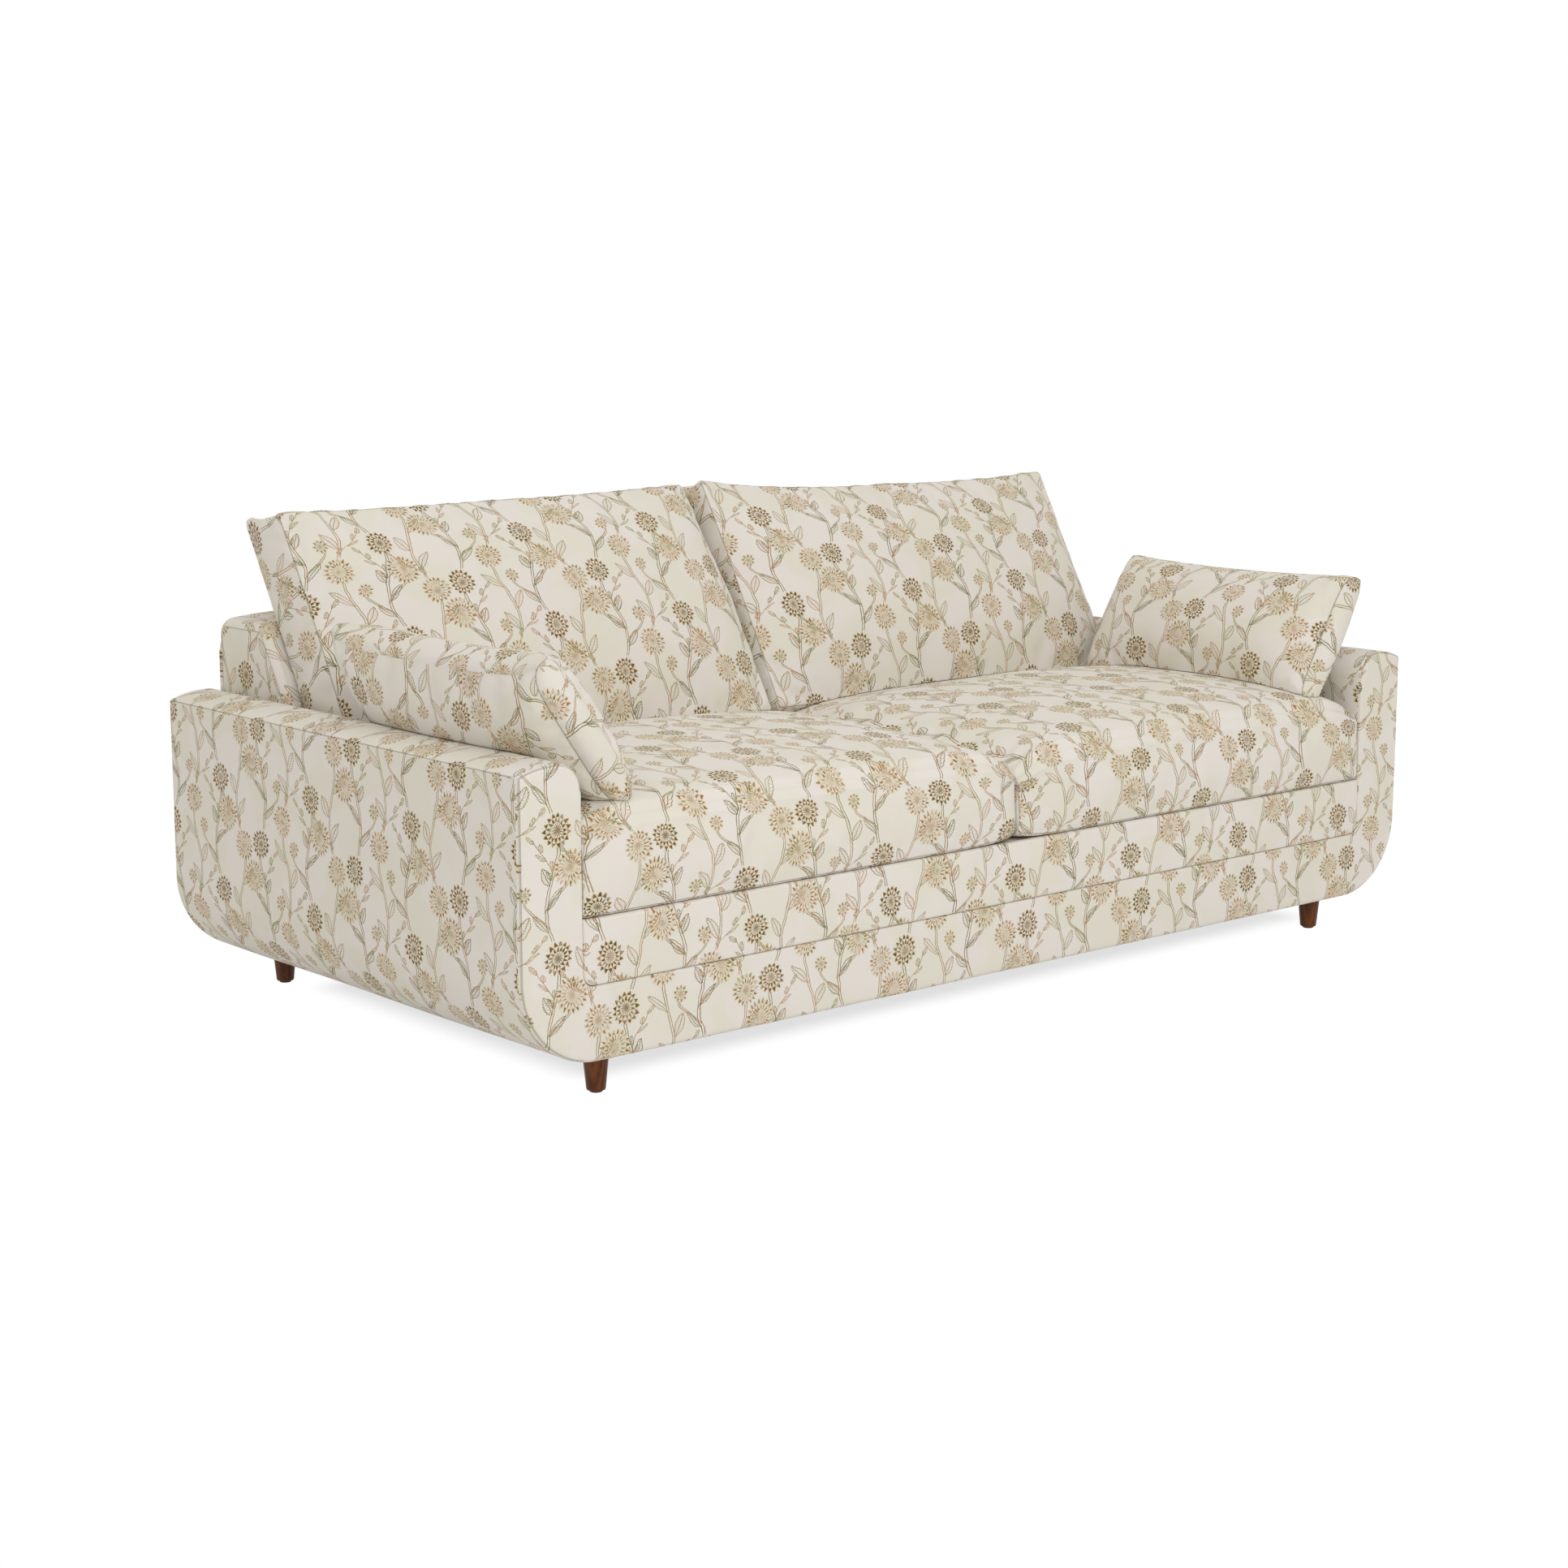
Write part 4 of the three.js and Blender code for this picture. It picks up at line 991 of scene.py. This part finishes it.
def case_grid(cuts):
    """The surface of a box from -1 to 1 on a grid whose lines bunch towards the edges: 0.4 of the
    even share and 0.6 of its sine. Gives the places (a, b, c), faces that point outwards and the
    side that each face is on."""
    keys, faces, side_of, start = [], [], [], 0
    for axis in range(3):
        first, second = (axis + 1) % 3, (axis + 2) % 3
        wide = cuts[second] + 1
        for face in (-1, 1):
            i, j = np.meshgrid(np.arange(cuts[first] + 1), np.arange(wide), indexing="ij")
            key = np.zeros(i.shape + (3,), int)
            key[..., first], key[..., second] = 2 * i - cuts[first], 2 * j - cuts[second]
            key[..., axis] = face * cuts[axis]
            keys.append(key.reshape(-1, 3))
            corner = start + np.arange(cuts[first])[:, None] * wide + np.arange(cuts[second])
            ring = np.stack([corner, corner + wide, corner + wide + 1, corner + 1], axis=-1)
            ring = ring.reshape(-1, 4)
            faces.append(ring if face > 0 else ring[:, ::-1])
            side_of.append(np.full(len(ring), axis * 2 + (face > 0)))
            start += i.size
    unique, index = np.unique(np.concatenate(keys), axis=0, return_inverse=True)
    even = unique / np.array(cuts)
    share = 0.4 * even + 0.6 * np.sin(even * np.pi / 2)
    return share, index.reshape(-1)[np.concatenate(faces)], np.concatenate(side_of)


def round_box(share, half_size, edge, noses=()):
    """A box with round edges. Within a nose, a bigger arc along the lower or upper front edge, a
    point is set on the arc round its middle; then each point is drawn to the box's core and set
    out from it by the edge radius."""
    point = share * half_size
    for radius, way in noses:
        middle = np.array([-half_size[1] + radius, way * (half_size[2] - radius)])
        out = point[:, 1:] - middle
        inside = (out[:, 0] < 0) & (out[:, 1] * way > 0)
        length = np.maximum(np.linalg.norm(out, axis=1, keepdims=True), 1e-9)
        point[:, 1:] = np.where(inside[:, None], middle + out / length * radius, point[:, 1:])
    core = np.clip(point, -(half_size - edge), half_size - edge)
    out = point - core
    return core + out / np.maximum(np.linalg.norm(out, axis=1, keepdims=True), 1e-9) * edge


def seam_room(share, half_size, seams):
    """Distance of each place from the nearest seam in millimetres, 60 at most. A seam is the line
    where two sides of the box meet, so the distance is the hypotenuse of the room to each."""
    room = {}
    for side in range(6):
        room[side] = half_size[side // 2] * (1 - share[:, side // 2] * (1 if side % 2 else -1))
    away = np.full(len(share), no_seam / 1000)
    for one, other in seams:
        away = np.minimum(away, np.hypot(room[one], room[other]))
    return away * 1000


def case_mesh(name, points, case, half_size, seams, cloth_start):
    """The sewn case. The flat cloth of a face is the box's own side in metres; the front of a
    waterfall goes on from its top. A seam lies where two named sides meet, and each point keeps
    its distance from the nearest one, in millimetres."""
    share, faces, side_of = case
    mesh = bpy.data.meshes.new(name)
    mesh.from_pydata(points.tolist(), [], faces.tolist())
    _, hy, hz = half_size
    x, y, z = np.moveaxis((share * half_size)[faces], -1, 0)
    layouts = {
        LEFT_END: (y - 0.4, z + 0.9),
        RIGHT_END: (0.3 - y, z + 0.5),
        NEAR_SIDE: (x, z - hy - hz),
        FAR_SIDE: (0.5 - x, z + 0.7),
        UNDER: (x, 1.3 - y),
        TOP: (x, y),
    }
    flat = np.zeros(faces.shape + (2,))
    for side, layout in layouts.items():
        flat = np.where((side_of == side)[:, None, None], np.stack(layout, axis=-1), flat)
    flat += cloth_start
    mesh.uv_layers.new(name="UVMap").data.foreach_set("uv", flat.ravel())
    room = seam_room(share, half_size, seams)
    mesh.attributes.new("seam", "FLOAT", "POINT").data.foreach_set("value", room)
    mesh.polygons.foreach_set("use_smooth", [True] * len(faces))
    return mesh


def swelling(share, power=3.0):
    """1 in the middle and 0 at the ends: 1 - |share| to a power."""
    return 1 - np.abs(share) ** power


def blown_up(piece, held, cap, slack):
    """Fills the sewn case: Blender's cloth with air pressure inside and no weight, for 20 frames.
    The cloth is cut a little larger than the form, so it puckers along its seams, which are held.
    No point may move further than cap."""
    before = np.empty(len(piece.data.vertices) * 3)
    piece.data.vertices.foreach_get("co", before)
    group = piece.vertex_groups.new(name="held")
    group.add(np.flatnonzero(held).tolist(), 1.0, "REPLACE")
    cloth = piece.modifiers.new("case", "CLOTH")
    settings = cloth.settings
    settings.quality = 4
    settings.mass = 0.25
    settings.tension_stiffness = settings.compression_stiffness = 12.0
    settings.shear_stiffness = 4.0
    settings.bending_stiffness = 0.6
    settings.air_damping = 3.0
    settings.shrink_min = -slack
    settings.vertex_group_mass = "held"
    settings.pin_stiffness = 1.0
    settings.use_pressure = True
    settings.uniform_pressure_force = 4.0
    settings.effector_weights.gravity = 0.0
    cloth.collision_settings.use_collision = False
    cloth.collision_settings.use_self_collision = False
    cloth.point_cache.frame_start, cloth.point_cache.frame_end = 1, frames
    for number in range(1, frames + 1):
        scene.frame_set(number)
    settle(piece)
    scene.frame_set(1)
    after = np.empty_like(before)
    piece.data.vertices.foreach_get("co", after)
    moved = (after - before).reshape(-1, 3)
    far = np.maximum(np.linalg.norm(moved, axis=1, keepdims=True), 1e-9)
    # The cap is soft: a move m becomes cap times tanh(m / cap).
    moved *= np.tanh(far / cap) * cap / far
    piece.data.vertices.foreach_set("co", (before.reshape(-1, 3) + moved).ravel())
    piece.vertex_groups.clear()
    piece.data.update()


def finished_case(piece, on=None, behind=None, beside=None):
    """Smooths the case once. Then what would lie inside a neighbour is set 1 mm off its surface:
    straight up from the cushion it stands on, forward from the one behind it, and by the nearest
    way from the arm beside it."""
    smooth = piece.modifiers.new("smooth", "SUBSURF")
    smooth.levels = smooth.render_levels = 1
    nearest = "NEAREST_SURFACEPOINT"
    for neighbour, method in ((on, "PROJECT"), (behind, "PROJECT"), (beside, nearest)):
        if neighbour is None:
            continue
        up, forward = neighbour is on, neighbour is behind
        press = piece.modifiers.new("press", "SHRINKWRAP")
        press.target = neighbour
        press.wrap_method, press.wrap_mode, press.offset = method, "OUTSIDE", 0.001
        press.cull_face = "FRONT"
        press.use_project_z, press.use_project_y = up, forward
        press.use_positive_direction, press.use_negative_direction = up, forward
    settle(piece)
    piece.data.polygons.foreach_set("use_smooth", [True] * len(piece.data.polygons))


def made_up(mesh, cushion, held, cap, slack, **neighbours):
    """A cushion's case as a piece of its own body: filled, smoothed and pressed to neighbours."""
    piece = upholstered(mesh, cushion, body=cushion)
    blown_up(piece, held, cap, slack)
    finished_case(piece, **neighbours)
    return piece


round_ends = (NEAR_SIDE, FAR_SIDE, UNDER, TOP)
end_seams = [(end, side) for end in (LEFT_END, RIGHT_END) for side in round_ends]
seat_seams = end_seams + [(NEAR_SIDE, UNDER), (FAR_SIDE, TOP), (FAR_SIDE, UNDER)]
cushions = {}
for side, sign in sides.items():
    # A box with a waterfall front, a swollen top and front, and drawn-in ends. Its front corners
    # drop where the case isn't quite filled, and its rear sinks under the back cushion.
    low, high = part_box(f"seat_cushion_{side}")
    half_size = np.array([(high.x - low.x) / 2, (seat_rear - low.y) / 2, 0.083])
    middle = np.array([high.x + low.x, seat_rear + low.y, 0.0]) / 2
    middle[2] = deck + gap + half_size[2]
    case = case_grid((72, 60, 16))
    a, b, c = case[0].T
    upper, fore = np.clip(c, 0, 1), np.clip(-b, 0, 1)
    split_end, arm_end = np.clip(-sign * a, 0, 1), np.clip(sign * a, 0, 1)
    point = round_box(case[0], half_size, 0.014, ((0.060, 1), (0.030, -1)))
    point[:, 0] -= 0.0025 * a * swelling(b, 2) * swelling(c, 2)
    under_back = np.clip((b - 0.2) / 0.5, 0, 1)
    sink = under_back**2 * (3 - 2 * under_back)
    point[:, 2] += (0.030 * swelling(a) * swelling(b) - 0.021 * sink) * upper
    point[:, 1] -= 0.006 * (b < -0.9) * swelling(c, 2) * swelling(a, 6)
    to_arm, to_front = half_size[0] - sign * point[:, 0], half_size[1] + point[:, 1]
    # The under edge of its front is pressed on the band below it, so it is less round.
    point[:, 1] -= 0.6 * to_front * np.exp(-((to_front / 0.02) ** 2)) * np.clip(-2 * c, 0, 1)
    # The end at the arm is pressed against it, so its edges are less round too.
    point[:, 0] += sign * 0.6 * to_arm * np.exp(-((to_arm / 0.02) ** 2))
    drop = 0.036 * split_end**8 + 0.022 * arm_end**9
    if side == "right":
        drop += 0.016 * split_end**5 + 0.012 * arm_end**9
    point[:, 2] -= drop * (0.3 + 0.7 * fore**3) * upper
    point[:, 2] += 0.0016 * np.sin(point[:, 0] * 13 + 1) * np.sin(point[:, 1] * 11) * upper
    point[:, 2] += 0.014 * split_end**14 * np.clip(-c, 0, 1) * fore**12
    cushion, cloth_start = f"seat_cushion_{side}", (0.31 + sign * 0.53, 0.42)
    mesh = case_mesh(f"{cushion}_case", point + middle, case, half_size, seat_seams, cloth_start)
    held = (c == -1) | (b == 1) | (np.abs(a) == 1)
    piece = made_up(mesh, cushion, held, 0.010, 0.012)
    cushions[f"seat_{side}"] = piece

# Back cushions. Two loose boxed cushions lean on the back. They are filled with fibre and down,
# softer than the seats, so the top edge sags between its ends and the faces swell.
box_sides = (LEFT_END, RIGHT_END, NEAR_SIDE, FAR_SIDE)
boxed_seams = [(face, side) for face in (UNDER, TOP) for side in box_sides]
lean_up = np.array([0.0, math.sin(lean), math.cos(lean)])
lean_out = np.array([0.0, -math.cos(lean), math.sin(lean)])
for side, sign in sides.items():
    # A boxed form laid along the leaning back and swollen in front. Its top edge sags between its
    # ends, its rear top corners stand up in ears, and its foot is pressed to the seat.
    low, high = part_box(f"back_cushion_{side}")
    half_size = np.array([(high.x - low.x) / 2, 0.250, 0.059])
    case = case_grid((68, 40, 14))
    a, b, c = case[0].T
    split_end, arm_end = np.clip(-sign * a, 0, 1), np.clip(sign * a, 0, 1)
    top, full = np.clip(b, 0, 1), np.clip(c, 0, 1)
    sag, arm_sag = (0.014, 0.013) if side == "left" else (0.032, 0.026)
    point = round_box(case[0], half_size, 0.011)
    point[:, 0] -= 0.003 * a * swelling(b, 2)
    point[:, 1] -= sag * top * swelling(a, 2.3)
    point[:, 1] -= arm_sag * top * arm_end**1.5
    point[:, 1] += 0.036 * top**5 * np.abs(a) ** 10 * np.clip(0.4 - c, 0, 1)
    point[:, 1] += 0.005 * (b > 0.95) * swelling(c, 2) * swelling(a, 6)
    point[:, 2] += 0.045 * full * swelling(a, 3.4) * swelling(b, 2.6)
    if side == "left":
        # Its end at the middle is thinner and drawn in, so the other cushion's end shows beside it.
        point[:, 2] -= (0.004 + 0.014 * top) * split_end**6 * full
        point[:, 0] -= (0.002 + 0.020 * top) * split_end**10 * (0.35 + 0.65 * full)
    else:
        point[:, 2] += 0.004 * split_end**8 * full
    uneven = 0.0025 * np.sin(a * 6 + 1) * np.sin(b * 5) * full
    point[:, 2] += uneven * swelling(a, 6) * swelling(b, 6)
    middle = np.array([(high.x + low.x) / 2, foot_y, knee_z])
    middle += lean_up * (half_size[1] - 0.076) + lean_out * (half_size[2] + gap)
    placed = middle + point @ np.array([(1, 0, 0), lean_up, lean_out])
    cushion, cloth_start = f"back_cushion_{side}", (0.13 + sign * 0.49, 0.94)
    mesh = case_mesh(f"{cushion}_case", placed, case, half_size, boxed_seams, cloth_start)
    held = (seam_room(case[0], half_size, boxed_seams) < held_room) | (c == -1)
    piece = made_up(mesh, cushion, held, 0.012, 0.018, on=cushions[f"seat_{side}"])
    cushions[f"back_{side}"] = piece

# Arm pillows. A boxed pillow stands on each seat cushion and leans out on the arm's round inner
# edge. It is filled with fibre until it is nearly round, and its front end is a panel of its own.
for side, sign in sides.items():
    # A boxed form leaned out on the arm, swollen on both broad faces and at its ends. Its long
    # edges are drawn in between the corners, and the corners are pinched flat and stand out.
    low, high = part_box(f"arm_pillow_{side}")
    half_size = np.array([0.297, 0.143, 0.038])
    case = case_grid((52, 30, 10))
    a, b, c = case[0].T
    tilt, back, sunk = (35.0, 0.0, 0.006) if side == "left" else (31.0, 0.010, 0.026)
    point = round_box(case[0], half_size, 0.030)
    ends = np.abs(a) ** 12
    point[:, 0] += a * ends * (0.014 * swelling(b, 2) * swelling(c, 2) + 0.012 * np.abs(b) ** 8)
    point[:, 1] -= 0.010 * b * swelling(a, 2)
    point[:, 1] += 0.010 * np.sign(b) * np.abs(b) ** 6 * ends
    point[:, 2] += np.where(c > 0, 0.034, 0.038) * c * swelling(a, 4) * swelling(b, 2.4)
    point[:, 2] *= 1 - 0.5 * np.abs(a) ** 8 * np.abs(b) ** 6
    sine, cosine = math.sin(math.radians(tilt)), math.cos(math.radians(tilt))
    up, out = np.array([sign * sine, 0.0, cosine]), np.array([-sign * cosine, 0.0, sine])
    foot = np.array([sign * (inner - 0.084), (low.y + high.y) / 2 + back, deck + gap + 0.160])
    middle = foot + up * half_size[1] + out * half_size[2] - (0, 0, sunk)
    placed = middle + point @ np.array([np.cross(up, out), up, out])
    cushion, cloth_start = f"arm_pillow_{side}", (0.27 + sign * 0.41, 0.58)
    mesh = case_mesh(f"{cushion}_case", placed, case, half_size, end_seams, cloth_start)
    held = seam_room(case[0], half_size, end_seams) < held_room
    held |= (np.abs(a) == 1) | (np.abs(b) == 1)
    seat, behind = cushions[f"seat_{side}"], cushions[f"back_{side}"]
    piece = made_up(mesh, cushion, held, 0.014, 0.02, on=seat, behind=behind, beside=arms[side])

# Floor and light. A white studio floor and backdrop, a large soft box in front and above on the
# left, a weaker one overhead, and an even sky.


def seen_white(start):
    """1 for what the camera sees directly, in gloss or through glass."""
    path = start.node("ShaderNodeLightPath")
    return path.most(path.other(3)).most(path.other(6))


floor_mesh = bpy.data.meshes.new("floor")
reach = 60.0
rim = [(-reach, -reach, 0), (reach, -reach, 0), (reach, reach, 0), (-reach, reach, 0)]
floor_mesh.from_pydata(rim, [], [(0, 1, 2, 3)])
floor = bpy.data.objects.new("floor", floor_mesh)
scene.collection.objects.link(floor)
floor_finish, place = new_finish("white floor", Roughness=0.9, Specular_IOR_Level=0.1)
tree = floor_finish.node_tree
shader = tree.nodes["Principled BSDF"]
pale = stretched(place, (0.6, 0.6, 0.6)).over(colour(246, 246, 246), colour(250, 250, 250))
tree.links.new(pale.socket, shader.inputs["Base Color"])
# Under the sofa the floor keeps a share of its shadow, a little more to the right, away from the
# lamps. Just inside the sofa's outline it fades to plain white.
x, y, _ = place.parts()
off = ((abs(x - 0.05) - 0.87).most(0.0) ** 2.0 + (abs(y) - 0.36).most(0.0) ** 2.0) ** 0.5
shade = off.fade(0.0, 0.1, 0.72, 1.0)
white = place.node("ShaderNodeEmission", None, {"Color": (1, 1, 1, 1), "Strength": 1.0})
layers = {0: seen_white(place) * shade, 1: Value(tree, shader.outputs[0]), 2: white}
blend = place.node("ShaderNodeMixShader", None, layers)
tree.links.new(blend.socket, tree.nodes["Material Output"].inputs["Surface"])
floor_mesh.materials.append(floor_finish)

world = bpy.data.worlds.new("sky")
scene.world = world
world.use_nodes = True
start = Value(world.node_tree)
warm_white = {"Color": (1.0, 0.975, 0.92, 1.0), "Strength": 0.75}
even = start.node("ShaderNodeBackground", None, warm_white)
plain = start.node("ShaderNodeBackground", None, {"Color": (1, 1, 1, 1), "Strength": 1.0})
sky = start.node("ShaderNodeMixShader", None, {0: seen_white(start), 1: even, 2: plain})
world.node_tree.links.new(sky.socket, world.node_tree.nodes["World Output"].inputs["Surface"])


def soft_box(name, place, aim, width, height, power):
    """A flat lamp at a place, turned to face aim."""
    lamp = bpy.data.lights.new(name, "AREA")
    lamp.shape, lamp.size, lamp.size_y, lamp.energy = "RECTANGLE", width, height, power
    lamp.color = (0.985, 0.99, 1.0)
    box = bpy.data.objects.new(name, lamp)
    box.location = place
    box.rotation_euler = (Vector(aim) - Vector(place)).to_track_quat("-Z", "Y").to_euler()
    scene.collection.objects.link(box)


soft_box("front soft box", (-1.6, -4.2, 3.2), (0.0, 0.0, 0.4), 3.0, 2.2, 68.0)
soft_box("top soft box", (-0.6, -0.4, 4.2), (0.0, 0.0, 0.3), 3.2, 3.2, 15.0)
